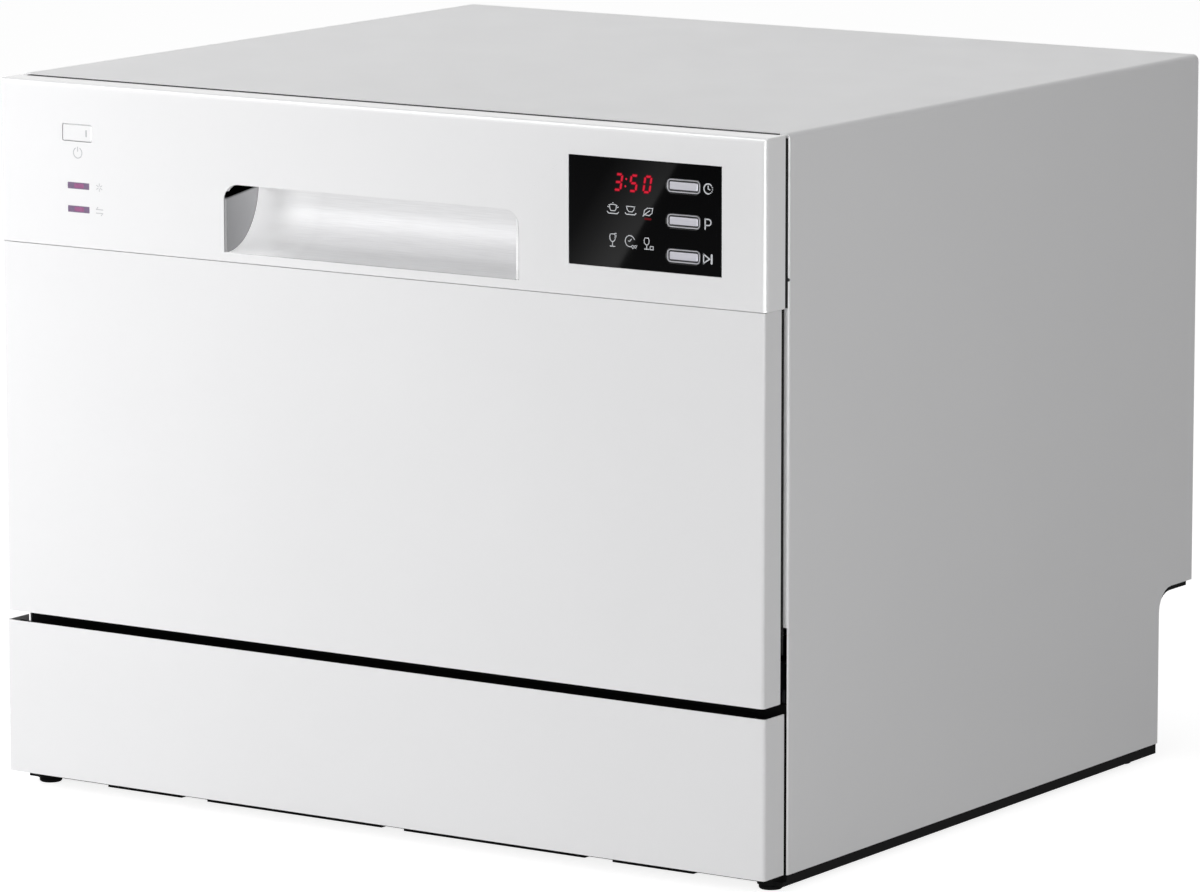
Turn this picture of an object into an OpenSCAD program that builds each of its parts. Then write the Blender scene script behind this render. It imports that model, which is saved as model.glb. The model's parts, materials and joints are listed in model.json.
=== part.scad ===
// Countertop dishwasher with a drop-down door, a roller rack and its works.
// Origin at the centre of the footprint on the worktop, front towards -Y, +Z up, millimetres.

/* [Cabinet] */
// Overall width of the cabinet
body_w = 550; // [540:1:580]
// Overall depth with the door shut
body_d = 500; // [490:1:540]
// Overall height, feet included
body_h = 438; // [434:1:460]
// Thickness of the painted steel sheet
sheet_t = 1; // [0.8:0.1:1.2]
// Rounding of the wrapper's two long top edges
edge_r = 4; // [2:0.5:6]
// Outer radius of a fold in the painted sheet
fold_r = 2; // [1.5:0.1:2.2]
// Width of the wrapper's return flange round the door opening
flange_w = 15; // [14:0.5:16]
// Height of the wrapper's lower edge above the worktop
skirt_z = 9.5; // [8:0.5:11]
// How far the rear panel sits inside the wrapper's rear edge
rear_inset = 3; // [2.5:0.5:6]
// Number of raised beads pressed into the rear panel
rear_beads = 4; // [2:1:5]

/* [Rear recess for the hoses] */
// Height of the recess ceiling above the worktop
recess_h = 107.3; // [100:0.5:112]
// How far the recess reaches in from the rear
recess_d = 41.5; // [38:0.5:48]
// Radius of its upper inner corner
recess_r = 15; // [8:1:20]
// How far the tray's ceiling hangs below the cut in the wrapper's sides
recess_drop = 3; // [2:0.5:4]
// Wall of the plastic base tray
tray_t = 2.5; // [2:0.5:3]

/* [Feet] */
// Radius of a levelling foot's pad
foot_r = 7; // [6:0.5:9]
// Distance of a foot's axis from the side of the cabinet
foot_inset = 13; // [12.5:0.5:20]
// Radius of a foot's threaded stem
foot_stem_r = 4; // [3:0.5:5]
// Height of the base tray's underside above the worktop
tray_z = 3; // [2.6:0.2:5]

/* [Door] */
// Depth of the door in front of the cabinet's sheet metal
door_t = 23; // [22:0.5:26]
// Play between a side of the steel door panel and the cabinet's side
door_play = 2; // [1.5:0.5:3]
// Height of the door's lower edge above the worktop
door_z = 110.4; // [108:0.2:114]
// Height of the control fascia
fascia_h = 98.8; // [94:0.4:104]
// Wall of the moulded control fascia
fascia_t = 3; // [2.5:0.5:3.5]
// Rounding of the fascia's front edges
fascia_r = 3.5; // [2:0.5:5]
// Height of the door hinge above the door's lower edge
hinge_up = 13.6; // [13:0.2:15]
// Distance of the door hinge behind the door's front
hinge_in = 12; // [11.5:0.5:12]
// Radius of a hinge pin
hinge_pin_r = 3; // [2.5:0.5:4]
// Distance of the raised pan's face behind the hinge
pan_d = 31; // [29:0.5:31]
// Height of the plinth panel
plinth_h = 94.4; // [90:0.4:95]

/* [Handle recess] */
// Width of the handle recess
handle_w = 211; // [180:1:230]
// Height of the handle recess in the fascia
handle_h = 40.4; // [36:0.4:44]
// Depth of the scoop
scoop_d = 32; // [26:1:32]
// Radius of the recess's upper corners
handle_r = 10; // [4:1:14]
// Height of the finger space above the opening
finger_h = 14; // [10:1:14]

/* [Window and keys] */
// Width of the display window
window_w = 103.8; // [98:0.2:110]
// Height of the display window
window_h = 62.9; // [61:0.1:66]
// Thickness of the display window
window_t = 2.5; // [2:0.5:3]
// Width of a programme key
key_w = 22.5; // [18:0.5:26]
// Height of a programme key
key_h = 8; // [6:0.5:10]
// Corner radius of a programme key
key_r = 2.5; // [1:0.1:3]
// Vertical distance between the programme keys
key_pitch = 20.05; // [18:0.05:21]
// Width of the power key
power_w = 22; // [18:0.5:26]
// Height of the power key
power_h = 10; // [8:0.5:12]
// Corner radius of the power key
power_r = 1; // [0.6:0.1:2]
// Travel of the power key
power_travel = 2; // [1:0.5:2]
// Travel of a programme key
key_travel = 1; // [0.5:0.5:1]

/* [Tub] */
// Gap between a side of the tub and the side of the cabinet
tub_side = 35; // [33:1:40]
// Distance of the tub's ceiling below the cabinet's top
tub_drop = 27; // [26:1:32]
// Distance of the tub's back inside the cabinet's rear
tub_back = 25; // [20:1:32]
// Radius of the tub's upper corners
tub_r = 20; // [12:1:28]
// Depth of the tub floor below the roller ledges
floor_drop = 14.7; // [12:0.1:16]
// Radius of the sump bowl
sump_r = 77; // [72:1:80]
// Depth of the sump bowl
sump_h = 66; // [50:1:70]

/* [Spray arm and filter] */
// Gap between the tip of the spray arm and the back of the tub
arm_play = 23; // [21:1:60]
// Height of the spray arm above the tub floor
arm_z = 22; // [20:1:24]
// Number of nozzles on each blade
nozzles = 6; // [3:1:8]
// Radius of the filter cup
filter_r = 33; // [28:1:34]
// Depth of the filter cup
filter_h = 48; // [36:1:52]
// Radius of the heater loop
heater_r = 130; // [122:1:134]

/* [Rack] */
// Thickness of the rack's wires
wire = 3; // [2.4:0.2:3.6]
// Radius of a rack roller
roller_r = 12; // [10:0.5:12]
// Height of the rack's front wall
rack_front_h = 58; // [40:1:60]
// Height of the rack's side and rear walls
rack_side_h = 103; // [80:1:110]
// Spacing of the plate tines
tine_pitch = 27; // [22:1:36]
// Height of the plate tines
tine_h = 58; // [40:1:60]
// Depth of a cup shelf
shelf_w = 92; // [70:1:98]
// Length of a cup shelf
shelf_l = 160; // [120:1:170]
// Width of the cutlery basket
cutlery_w = 84; // [70:1:88]
// Length of the cutlery basket
cutlery_l = 142; // [120:1:150]
// Height of the cutlery basket above the rack's floor
cutlery_h = 106; // [90:1:110]

/* [Works] */
// Width of the detergent dispenser
disp_w = 160; // [140:1:180]
// Height of the detergent dispenser
disp_h = 82; // [78:1:90]
// Depth of the detergent dispenser
disp_d = 25; // [20:1:25]
// Radius of the rinse aid cap
cap_r = 20; // [16:1:22]
// Radius of the salt filler's neck
salt_r = 26; // [22:1:28]
// Length of the water softener
softener_l = 132; // [110:1:140]
// Height of the float switch's bell
float_h = 34; // [28:1:40]
// Height of the air breather
breather_h = 180; // [150:1:190]
// Radius of a hose
hose_r = 6; // [5:0.5:7]
// Outer radius of the drain outlet
drain_r = 9.5; // [8:0.5:11]

/* [Hidden] */

$fn = 48;
// A cut runs this far past the face that it opens
cut = 1;
// Clearance between pieces that are set into each other
fit = 0.2;
// Radial clearance of a turning pin
run = 0.05;
// Clearance between a soft or moving piece and what it closes on
air = 0.3;
// Steps of a rounded corner in an outline
arc_steps = 6;

paint = [0.92, 0.92, 0.93];
black = [0.08, 0.08, 0.09];
steel = [0.72, 0.73, 0.75];
zinc = [0.6, 0.62, 0.65];
silver = [0.8, 0.8, 0.82];
plastic = [0.75, 0.76, 0.78];
rubber = [0.2, 0.2, 0.21];
green = [0.1, 0.4, 0.2];
blue = [0.25, 0.4, 0.7];

half_w = body_w / 2;
in_w = half_w - sheet_t;
y_front = -body_d / 2;
y_back = body_d / 2;
y_cab = y_front + door_t;
recess_y = y_back - recess_d;
rear_y = y_back - rear_inset;
ceiling_t = tray_t + 0.5;
ceiling_z = recess_h - recess_drop;

hinge_y = y_front + hinge_in;
hinge_z = door_z + hinge_up;
plinth_z0 = skirt_z + 0.5;
plinth_z = plinth_z0 + plinth_h;
fascia_z1 = body_h - 0.8;
fascia_z = fascia_z1 - fascia_h;
seam = 0.4;
fascia_x = half_w - 1;
panel_x = half_w - door_play;
// Face that the liner presents to the gasket, and the back of the steel door panel
seal_y = y_cab + sheet_t;
panel_y = y_front + 18;
fascia_y = y_front + 20;
liner_x = half_w - flange_w - 5;
liner_z1 = body_h - flange_w - 2;
pan_y = hinge_y + pan_d;
pan_z = hinge_z + pan_d;

tub_x = half_w - tub_side;
tub_z1 = body_h - tub_drop;
tub_y1 = y_back - tub_back;
tub_y = y_cab + 10;
lip_y = pan_y + 1;
lip_t = 2;
ledge_z = pan_z - air;
floor_z = ledge_z - floor_drop;
floor_t = 2;
ledge_x = tub_x - 36;
floor_under = floor_z - floor_t;
pan_x = tub_x - 12;
pan_z1 = tub_z1 - 8;

well_y = -25;
hub_y = 12;
filter_y = well_y - (hub_y - well_y);
arm_r = tub_y1 - hub_y - arm_play;
sump_t = 3;
sump_z = floor_under - sump_h;
tray_floor = tray_z + tray_t;
tray_x = in_w - fit;

foot_x = half_w - foot_inset;
foot_front_y = y_cab + 3;
foot_rear_y = recess_y - 24;

inlet_x = -80;
inlet_z = 60;
inlet_r = 13.2;
drain_x = 120;
drain_z = 50;
cord_x = half_w - 75;
cord_z = 60;
cord_r = 3.9;
drain_hose_r = drain_r + 0.5;
breather_x = half_w - 20;
breather_z = 190;

bracket_x = half_w - 7.5;
bracket_t = 2.5;
bracket_leg = [hinge_y + 16, hinge_y + 28];
boss_h = 18;
bracket_z0 = tray_floor + boss_h;
hinge_arm_x = half_w - 13;
hinge_arm_t = 3;
lever_l = 35;
spring_r = 4.6;
spring_wire = 0.8;
spring_turns = 20;
spring_y = hinge_y + lever_l;
spring_end = spring_wire + air;
lever_h = 6;
spring_z0 = tray_floor + 12;
spring_z1 = hinge_z - lever_h - spring_end;
// Arms, brackets and springs work below this height, so the flanges stop there
hinge_top = hinge_z + 44;

window_x1 = fascia_x - 29.9;
window_x = window_x1 - window_w;
window_z = fascia_z + 18.1;
key_x = window_x + 78.05;
key_z = window_z + 9.8;
power_x = -fascia_x + 59.1;
power_z = fascia_z + 69.2;
lens_x = -fascia_x + 59.2;
lens_w = 15.6;
lens_h = 3.3;
lens_z = [fascia_z + 23, fascia_z + 37.2];
handle_x = handle_w / 2;
handle_z = fascia_z + 5.7;
handle_z1 = handle_z + handle_h;
cup_t = 2;
board_y = y_front + 10;
board_t = 1.6;
lock_z = handle_z1 + finger_h + cup_t + 1.5;
strike_z = body_h - 9;

disp_x = [-disp_w / 2, disp_w / 2];
disp_z = [fascia_z - 4.4 - disp_h, fascia_z - 4.4];
flap_x = [disp_x[0] + 8, -4];
flap_z = [disp_z[0] + 8, disp_z[1] - 8];
flap_t = 2;
cap_x = disp_x[1] / 2;
cap_z = (disp_z[0] + disp_z[1]) / 2;

softener_x = [-tub_x + 8, -tub_x + 115];
softener_y = [recess_y - 18.5 - softener_l, recess_y - 18.5];
salt_x = -tub_x + 75;
salt_y = softener_y[1] - 40;
hose_gap = 2.5;
hose_up_y = softener_y[0] - hose_r - hose_gap;

rack_x = tub_x - 18;
rack_y = pan_y + 17;
rack_y1 = tub_y1 - 25;
rack_z = hinge_z + 63;
axle_z = ledge_z + air + roller_r;
axle_r = 3;
roller_w = 10;
roller_x = rack_x + 2;
front_roller_y = rack_y + 85;
rear_roller_y = rack_y1 - 60;
shelf_z = rack_z + 107;
shelf_y = 5;
shelf_axis_x = rack_x - 8;
shelf_rod_r = 2;

// A box given by its limits along X, Y and Z
module block(x, y, z) {
  translate([x[0], y[0], z[0]]) cube([x[1] - x[0], y[1] - y[0], z[1] - z[0]]);
}

// An outline in X and Z, made solid from y[0] to y[1]
module along_y(y) {
  translate([0, y[1], 0]) rotate([90, 0, 0]) linear_extrude(y[1] - y[0]) children();
}

// An outline in Y and Z, made solid from x[0] to x[1]
module along_x(x) {
  translate([x[0], 0, 0]) rotate([90, 0, 90]) linear_extrude(x[1] - x[0]) children();
}

// An outline in X and Y, made solid from z[0] to z[1]
module along_z(z) {
  translate([0, 0, z[0]]) linear_extrude(z[1] - z[0]) children();
}

module rod_x(x, y, z, r) {
  translate([x[0], y, z]) rotate([0, 90, 0]) cylinder(r = r, h = x[1] - x[0]);
}

module rod_y(x, y, z, r) {
  translate([x, y[0], z]) rotate([-90, 0, 0]) cylinder(r = r, h = y[1] - y[0]);
}

module rod_z(x, y, z, r) {
  translate([x, y, z[0]]) cylinder(r = r, h = z[1] - z[0]);
}

function arc(c, r, a0, a1) =
  [for (i = [0 : arc_steps])
    let (a = a0 + (a1 - a0) * i / arc_steps)
    c + r * [cos(a), sin(a)]];

function corner(c, r, dir, a0) = r > 0 ? arc(c - r * dir, r, a0, a0 + 90) : [c];

// Rectangle u by v with corner radii in the order lower right, upper right, upper left, lower left
function rounded(u, v, r) = concat(
  corner([u[1], v[0]], r[0], [1, -1], -90),
  corner([u[1], v[1]], r[1], [1, 1], 0),
  corner([u[0], v[1]], r[2], [-1, 1], 90),
  corner([u[0], v[0]], r[3], [-1, -1], 180));

module plate(x, z, r) {
  polygon(rounded(x, z, r));
}

// A stadium outline centred on c
module stadium(c, w, h) {
  polygon(concat(arc(c + [(w - h) / 2, 0], h / 2, -90, 90), arc(c - [(w - h) / 2, 0], h / 2, 90, 270)));
}

module mirrored_x(left) {
  mirror([left ? 1 : 0, 0, 0]) children();
}

module both_sides() {
  children();
  mirror([1, 0, 0]) children();
}

// Side outline of the cabinet, with the hose recess cut out of its lower rear corner
side_outline = concat(
  [[y_cab, skirt_z], [recess_y, skirt_z]],
  arc([recess_y + recess_r, recess_h - recess_r], recess_r, 180, 90),
  [[y_back, recess_h], [y_back, body_h]],
  corner([y_cab, body_h], fold_r, [-1, 1], 90));

// Room inside the wrapper's sheet over the stretch y
module wrapper_inside(y) {
  along_y(y) plate([-in_w, in_w], [-cut, body_h - sheet_t], [0, edge_r - sheet_t, edge_r - sheet_t, 0]);
}

module outer_wrapper() color(paint) {
  intersection() {
    difference() {
      along_y([y_cab, y_back]) plate([-half_w, half_w], [skirt_z, body_h], [0, edge_r, edge_r, 0]);
      wrapper_inside([seal_y, rear_y - 2 * sheet_t]);
      wrapper_inside([rear_y - sheet_t, y_back + cut]);
      block([flange_w - half_w, half_w - flange_w], [y_cab - cut, y_back + cut], [-cut, body_h - flange_w]);
      block([-in_w, in_w], [y_cab - cut, y_cab + 2 * sheet_t], [-cut, hinge_top - 14]);
      block([-in_w + 4, in_w - 4], [y_cab - cut, y_cab + 2 * sheet_t], [-cut, hinge_top]);
    }
    along_x([-half_w - cut, half_w + cut]) polygon(side_outline);
    along_z([0, body_h + cut]) plate([-half_w, half_w], [y_cab, y_back], [fold_r, 0, 0, fold_r]);
  }
}

bead_z0 = recess_h + 45;
bead_pitch = (body_h - recess_h - 90) / (rear_beads - 1);
bead_x = half_w - 60;
bead_h = 14;
bead_d = 1.2;
rear_screw_x = in_w - 6;
rear_screw_z = [recess_h + 14, (recess_h + body_h) / 2, body_h - 18];

module rear_panel() color(zinc) {
  difference() {
    union() {
      along_y([rear_y - sheet_t, rear_y]) plate([-in_w + fit, in_w - fit],
        [recess_h + fit, body_h - sheet_t - fit], [0, edge_r, edge_r, 0]);
      for (i = [0 : rear_beads - 1])
        along_y([rear_y - sheet_t / 2, rear_y + bead_d])
          stadium([0, bead_z0 + i * bead_pitch], 2 * bead_x, bead_h);
    }
    for (i = [0 : rear_beads - 1])
      along_y([rear_y - sheet_t - cut, rear_y + bead_d - sheet_t]) stadium([0, bead_z0 + i * bead_pitch],
        2 * (bead_x - sheet_t), bead_h - 2 * sheet_t);
    for (x = [-rear_screw_x, rear_screw_x], z = rear_screw_z) rod_y(x, [rear_y - 2, rear_y + 1], z, 2);
  }
}

module rear_screws() color(silver) {
  for (x = [-rear_screw_x, rear_screw_x], z = rear_screw_z) {
    rod_y(x, [rear_y - sheet_t, rear_y + 0.1], z, 1.9);
    rod_y(x, [rear_y, rear_y + 1.8], z, 4);
  }
}

// Profile of the tray's rear wall and recess ceiling, in Y and Z
recess_profile = concat(
  [[recess_y - ceiling_t, tray_z], [recess_y, tray_z]],
  arc([recess_y + recess_r, ceiling_z - recess_r], recess_r, 180, 90),
  [[rear_y - 2 * sheet_t, ceiling_z], [rear_y - 2 * sheet_t, ceiling_z + ceiling_t]],
  arc([recess_y + recess_r, ceiling_z - recess_r], recess_r + ceiling_t, 90, 180));

tray_wall_h = 55;
tray_front_y = seal_y + 3;
boss_r = foot_stem_r + 4;
// Front wall, which closes the gap over the plinth just below the door's swing
apron_z = door_z - 1.5;
// Shelf that carries the plinth panel's upper edge, clear of the hinge brackets
shelf_top = plinth_z - 2;
shelf_back = y_front + 12;
// Stretches where the tray's front edge is cut back, right of the middle
tray_gaps = [[0, 8], [0.5 * half_w, 0.57 * half_w], [foot_x - 49, foot_x - 4]];

module foot_boss(x, y) {
  rod_z(x, y, [tray_z, tray_floor + boss_h], boss_r);
}

module tray_hole_z(x, y, r) {
  rod_z(x, y, [tray_z - cut, tray_floor + boss_h + cut], r);
}

module base_tray() color(black) {
  difference() {
    union() {
      difference() {
        block([-tray_x, tray_x], [y_cab - 3, recess_y - ceiling_t + cut], [tray_z, tray_floor]);
        for (x = tray_gaps) both_sides() block(x, [y_cab - 3 - cut, tray_front_y - tray_t],
          [tray_z - cut, tray_floor + cut]);
      }
      block([-tray_x, tray_x], [tray_front_y - tray_t, tray_front_y], [tray_z, apron_z]);
      block([-tray_x + 20, tray_x - 20], [y_front + sheet_t, tray_front_y], [shelf_top - tray_t, shelf_top]);
      block([-fascia_x + fold_r, fascia_x - fold_r], [y_front + sheet_t, shelf_back],
        [shelf_top - tray_t, shelf_top]);
      both_sides() block([tray_x - tray_t, tray_x], [tray_front_y - tray_t, recess_y - ceiling_t + cut],
        [tray_z, tray_wall_h]);
      along_x([-tray_x, tray_x]) polygon(recess_profile);
      for (x = [-foot_x, foot_x], y = [foot_front_y, foot_rear_y]) foot_boss(x, y);
      // Cradles under the two pumps and the softener, and the anchors of the door springs
      block([pump_x[0] + 25, pump_x[0] + 31], [well_y - 26, well_y + 26], [tray_floor - cut, pump_z - 24]);
      block([pump_x[1] - 26, pump_x[1] - 20], [well_y - 26, well_y + 26], [tray_floor - cut, pump_z - 24]);
      block([drain_pump_x[0] + 20, drain_pump_x[0] + 26], [well_y - 14, well_y + 14],
        [tray_floor - cut, drain_z - 14]);
      both_sides() block([hinge_arm_x - 2, hinge_arm_x + 5], [spring_y - 3, spring_y + 3],
        [tray_floor - cut, spring_z0 - spring_end]);
      both_sides() block([bracket_x - 18, bracket_x + bracket_t], bracket_leg,
        [tray_floor - cut, bracket_z0]);
    }
    for (x = [-foot_x, foot_x], y = [foot_front_y, foot_rear_y]) tray_hole_z(x, y, foot_stem_r + run);
    rod_x([pump_x[0], pump_x[1]], well_y, pump_z, motor_r + run);
    rod_x([drain_pump_x[0] + 2, drain_pump_x[1]], well_y, drain_z, drain_motor_r + run);
    rod_y(inlet_x, [recess_y - ceiling_t - cut, recess_y + cut], inlet_z, inlet_r + 1.3);
    rod_y(drain_x, [recess_y - ceiling_t - cut, recess_y + cut], drain_z, drain_r - 1.5 + fit);
    rod_y(cord_x, [recess_y - ceiling_t - cut, recess_y + cut], cord_z, gland_neck_r + fit);
  }
}

module levelling_foot(x, y) color(black) {
  translate([x, y, 0]) {
    rotate_extrude() polygon([[0, 0], [foot_r - 0.8, 0], [foot_r, 0.8], [foot_r, tray_z - 1],
      [foot_r - 0.8, tray_z - fit], [0, tray_z - fit]]);
    rod_z(0, 0, [tray_z - fit - cut, tray_floor + boss_h - 2], foot_stem_r);
  }
}

module foot_front_left() levelling_foot(-foot_x, foot_front_y);
module foot_front_right() levelling_foot(foot_x, foot_front_y);
module foot_rear_left() levelling_foot(-foot_x, foot_rear_y);
module foot_rear_right() levelling_foot(foot_x, foot_rear_y);

module plinth_panel() color(paint) {
  side_y = y_cab - 2;
  return_y = y_front + 16;
  difference() {
    along_z([plinth_z0, plinth_z]) plate([-fascia_x, fascia_x], [y_front, side_y], [fold_r, 0, 0, fold_r]);
    along_z([plinth_z0 - cut, plinth_z + cut]) plate([-fascia_x + sheet_t, fascia_x - sheet_t],
      [y_front + sheet_t, side_y + cut], [fold_r - sheet_t, 0, 0, fold_r - sheet_t]);
  }
  along_z([plinth_z0, plinth_z0 + sheet_t]) plate([-fascia_x + sheet_t / 2, fascia_x - sheet_t / 2],
    [y_front + sheet_t / 2, return_y], [fold_r, 0, 0, fold_r]);
}

tub_flange_x = half_w - flange_w - 3;
tub_flange_z = body_h - flange_w - 1;
shell_z = hinge_top;

module tub_shell() color(steel) {
  outer = [0, tub_r + sheet_t, tub_r + sheet_t, 0];
  inner = [0, tub_r, tub_r, 0];
  difference() {
    union() {
      along_y([tub_y, tub_y1 + sheet_t]) plate([-tub_x - sheet_t, tub_x + sheet_t],
        [floor_under, tub_z1 + sheet_t], outer);
      block([-tub_flange_x, tub_flange_x], [tub_y - sheet_t, tub_y], [shell_z, tub_flange_z]);
      difference() {
        block([-tub_flange_x, tub_flange_x], [seal_y, tub_y], [shell_z, tub_flange_z]);
        block([-tub_flange_x + sheet_t, tub_flange_x - sheet_t], [seal_y - cut, tub_y + cut],
          [shell_z - cut, tub_flange_z - sheet_t]);
      }
      block([-in_w + 2, in_w - 2], [seal_y, seal_y + sheet_t], [shell_z, body_h - 3]);
    }
    along_y([seal_y - cut, tub_y1]) plate([-tub_x, tub_x], [floor_under - cut, tub_z1], inner);
    block([-tub_flange_x + sheet_t, tub_flange_x - sheet_t], [seal_y - cut, tub_y - sheet_t],
      [shell_z - cut, tub_flange_z - sheet_t]);
  }
}

module tub_floor() color(plastic) {
  side = [-tub_x + 0.1, tub_x - 0.1];
  wall_z = ledge_z + 12;
  rear = tub_y1 - 0.1;
  difference() {
    block(side, [lip_y, rear], [floor_under, wall_z]);
    block([side[0] + floor_t, side[1] - floor_t], [lip_y - cut, rear - floor_t], [ledge_z, wall_z + cut]);
    block([-ledge_x, ledge_x], [lip_y + lip_t, rear - floor_t], [floor_z, ledge_z + cut]);
    block([side[0] - cut, side[1] + cut], [lip_y - cut, lip_y + 8], [ledge_z, wall_z + cut]);
    both_sides() block([ledge_x + floor_t, side[1] - floor_t], [lip_y + lip_t, rear - floor_t],
      [floor_under - cut, ledge_z - floor_t]);
    rod_z(0, well_y, [floor_under - cut, floor_z + cut], sump_r + 3);
    rod_z(salt_x, salt_y, [floor_under - cut, floor_z + cut], salt_r + 3);
    for (x = heater_leg_x) rod_z(x, heater_leg_y, [floor_under - cut, floor_z + cut], heater_wire_r + fit);
  }
}

module door_gasket() color(rubber) {
  x = [tub_x + 2, tub_flange_x - 2.5];
  z = [tub_z1 + 1.5, tub_flange_z - 2];
  face_y = seal_y + air;
  back_y = tub_y - sheet_t;
  lip_z = ledge_z - air;
  difference() {
    along_y([face_y, back_y]) plate([-x[1], x[1]], [lip_z - 1.8, z[1]], [0, tub_r, tub_r, 0]);
    along_y([face_y - cut, back_y + cut]) plate([-x[0], x[0]], [lip_z - 1.8 - cut, z[0]],
      [0, tub_r - 8, tub_r - 8, 0]);
  }
  block([-tub_x + 3, tub_x - 3], [face_y + 3, lip_y], [lip_z - 1.8, lip_z]);
  both_sides() block([tub_x - 4, x[1]], [face_y + 3, back_y], [lip_z - 1.8, lip_z]);
  block([-tub_x + 3, tub_x - 3], [lip_y - 2, lip_y], [floor_z, lip_z]);
}

module hinge_bracket(left) color(zinc) {
  x = [bracket_x, bracket_x + bracket_t];
  mirrored_x(left) {
    difference() {
      union() {
        rod_x(x, hinge_y, hinge_z, 9);
        along_x(x) polygon([[hinge_y, hinge_z - 7], [bracket_leg[0], hinge_z - 7],
          [bracket_leg[0], bracket_z0], [bracket_leg[1], bracket_z0], [bracket_leg[1], hinge_z + 4],
          [bracket_leg[1] - 5, hinge_z + 9], [hinge_y, hinge_z + 9]]);
        block([bracket_x - 18, bracket_x + cut], bracket_leg, [bracket_z0, bracket_z0 + bracket_t]);
      }
      rod_x([x[0] - cut, x[1] + cut], hinge_y, hinge_z, hinge_pin_r);
    }
  }
}

module hinge_bracket_left() hinge_bracket(true);
module hinge_bracket_right() hinge_bracket(false);

module hinge_pins() color(silver) {
  both_sides() {
    rod_x([hinge_arm_x - 4, bracket_x + bracket_t + 1], hinge_y, hinge_z, hinge_pin_r);
    rod_x([hinge_arm_x - 4, hinge_arm_x - 2], hinge_y, hinge_z, hinge_pin_r + 2);
  }
}

module hinge_arm(left) color(zinc) {
  x = [hinge_arm_x, hinge_arm_x + hinge_arm_t];
  bar = [y_front + 4, y_front + 16];
  top_z = hinge_z + 90;
  mirrored_x(left) {
    difference() {
      union() {
        rod_x(x, hinge_y, hinge_z, 8);
        along_x(x) polygon([[bar[0], hinge_z], [hinge_y, hinge_z - 8], [spring_y, hinge_z - lever_h],
          [spring_y + 5, hinge_z], [spring_y, hinge_z + lever_h], [hinge_y + 10, hinge_z + 8],
          [bar[1], hinge_z + 22], [bar[1], top_z], [bar[0], top_z]]);
        block([x[0] - 14, x[1]], [y_front + sheet_t, bar[0] + cut], [hinge_z + 24, top_z]);
      }
      rod_x([x[0] - cut, x[1] + cut], hinge_y, hinge_z, hinge_pin_r + run);
      rod_x([x[0] - cut, x[1] + cut], spring_y, hinge_z, 1.6);
    }
  }
}

module hinge_arm_left() hinge_arm(true);
module hinge_arm_right() hinge_arm(false);

// A ring of the spring's wire at turn t, counted from the lower end
spring_sides = 6;
spring_steps = 12;
spring_x = hinge_arm_x + hinge_arm_t / 2;
spring_pitch = (spring_z1 - spring_z0) / spring_turns;
function spring_ring(t) =
  let (a = 360 * t, lean = atan(spring_pitch / (2 * PI * spring_r)))
  [for (k = [0 : spring_sides - 1])
    let (b = 360 * k / spring_sides, u = spring_wire * cos(b), w = spring_wire * sin(b))
    [(spring_r + u) * cos(a) + w * sin(lean) * sin(a), (spring_r + u) * sin(a) - w * sin(lean) * cos(a),
     t * spring_pitch + w * cos(lean)]];

module coil() {
  rings = spring_turns * spring_steps;
  points = [for (i = [0 : rings]) each spring_ring(i / spring_steps)];
  last = rings * spring_sides;
  faces = concat(
    [[for (k = [spring_sides - 1 : -1 : 0]) k]],
    [[for (k = [0 : spring_sides - 1]) last + k]],
    [for (i = [0 : rings - 1], k = [0 : spring_sides - 1])
      let (a = i * spring_sides + k, b = i * spring_sides + (k + 1) % spring_sides)
      each [[a, b, b + spring_sides], [a, b + spring_sides, a + spring_sides]]]);
  polyhedron(points, [for (f = faces) [for (i = [len(f) - 1 : -1 : 0]) f[i]]]);
}

module door_spring(left) color(steel) {
  mirrored_x(left) {
    translate([spring_x, spring_y, spring_z0]) coil();
  }
}

module door_spring_left() door_spring(true);
module door_spring_right() door_spring(false);

strike_y = y_front + 9;

module lock_strike() color(silver) {
  difference() {
    union() {
      block([-22, 22], [y_cab - sheet_t, y_cab], [strike_z - 5, body_h - 3]);
      block([-9, 9], [strike_y, y_cab - sheet_t / 2], [strike_z - 1, strike_z + 1]);
    }
    block([-5, 5], [strike_y + 3, strike_y + 7], [strike_z - 2, strike_z + 2]);
  }
}

// Half section of the sump bowl, filled
sump_outer = [[0, sump_z], [sump_r - 12, sump_z], [sump_r + sump_t, sump_z + 22],
  [sump_r + sump_t, floor_under - 4], [sump_r + 14, floor_under - 4], [sump_r + 14, floor_under],
  [0, floor_under]];

module sump_housing() color(plastic) {
  difference() {
    translate([0, well_y, 0]) rotate_extrude() polygon(sump_outer);
    translate([0, well_y, 0]) rotate_extrude() polygon([[0, sump_z + sump_t], [sump_r - 14, sump_z + sump_t],
      [sump_r, sump_z + 24], [sump_r, floor_under + cut], [0, floor_under + cut]]);
  }
}

hub_r = 11;
bearing_r = 6.5;
arm_t = 9;
arm_z0 = floor_z + arm_z;

module spray_hub() color(plastic) {
  rod_z(0, hub_y, [sump_z + sump_t, arm_z0 - 1], hub_r);
  rod_z(0, hub_y, [arm_z0 - 2, arm_z0 + arm_t + 3], bearing_r);
}

filter_hole_r = filter_r + 0.5;
plate_z = floor_under;
plate_t = 1.4;

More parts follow.
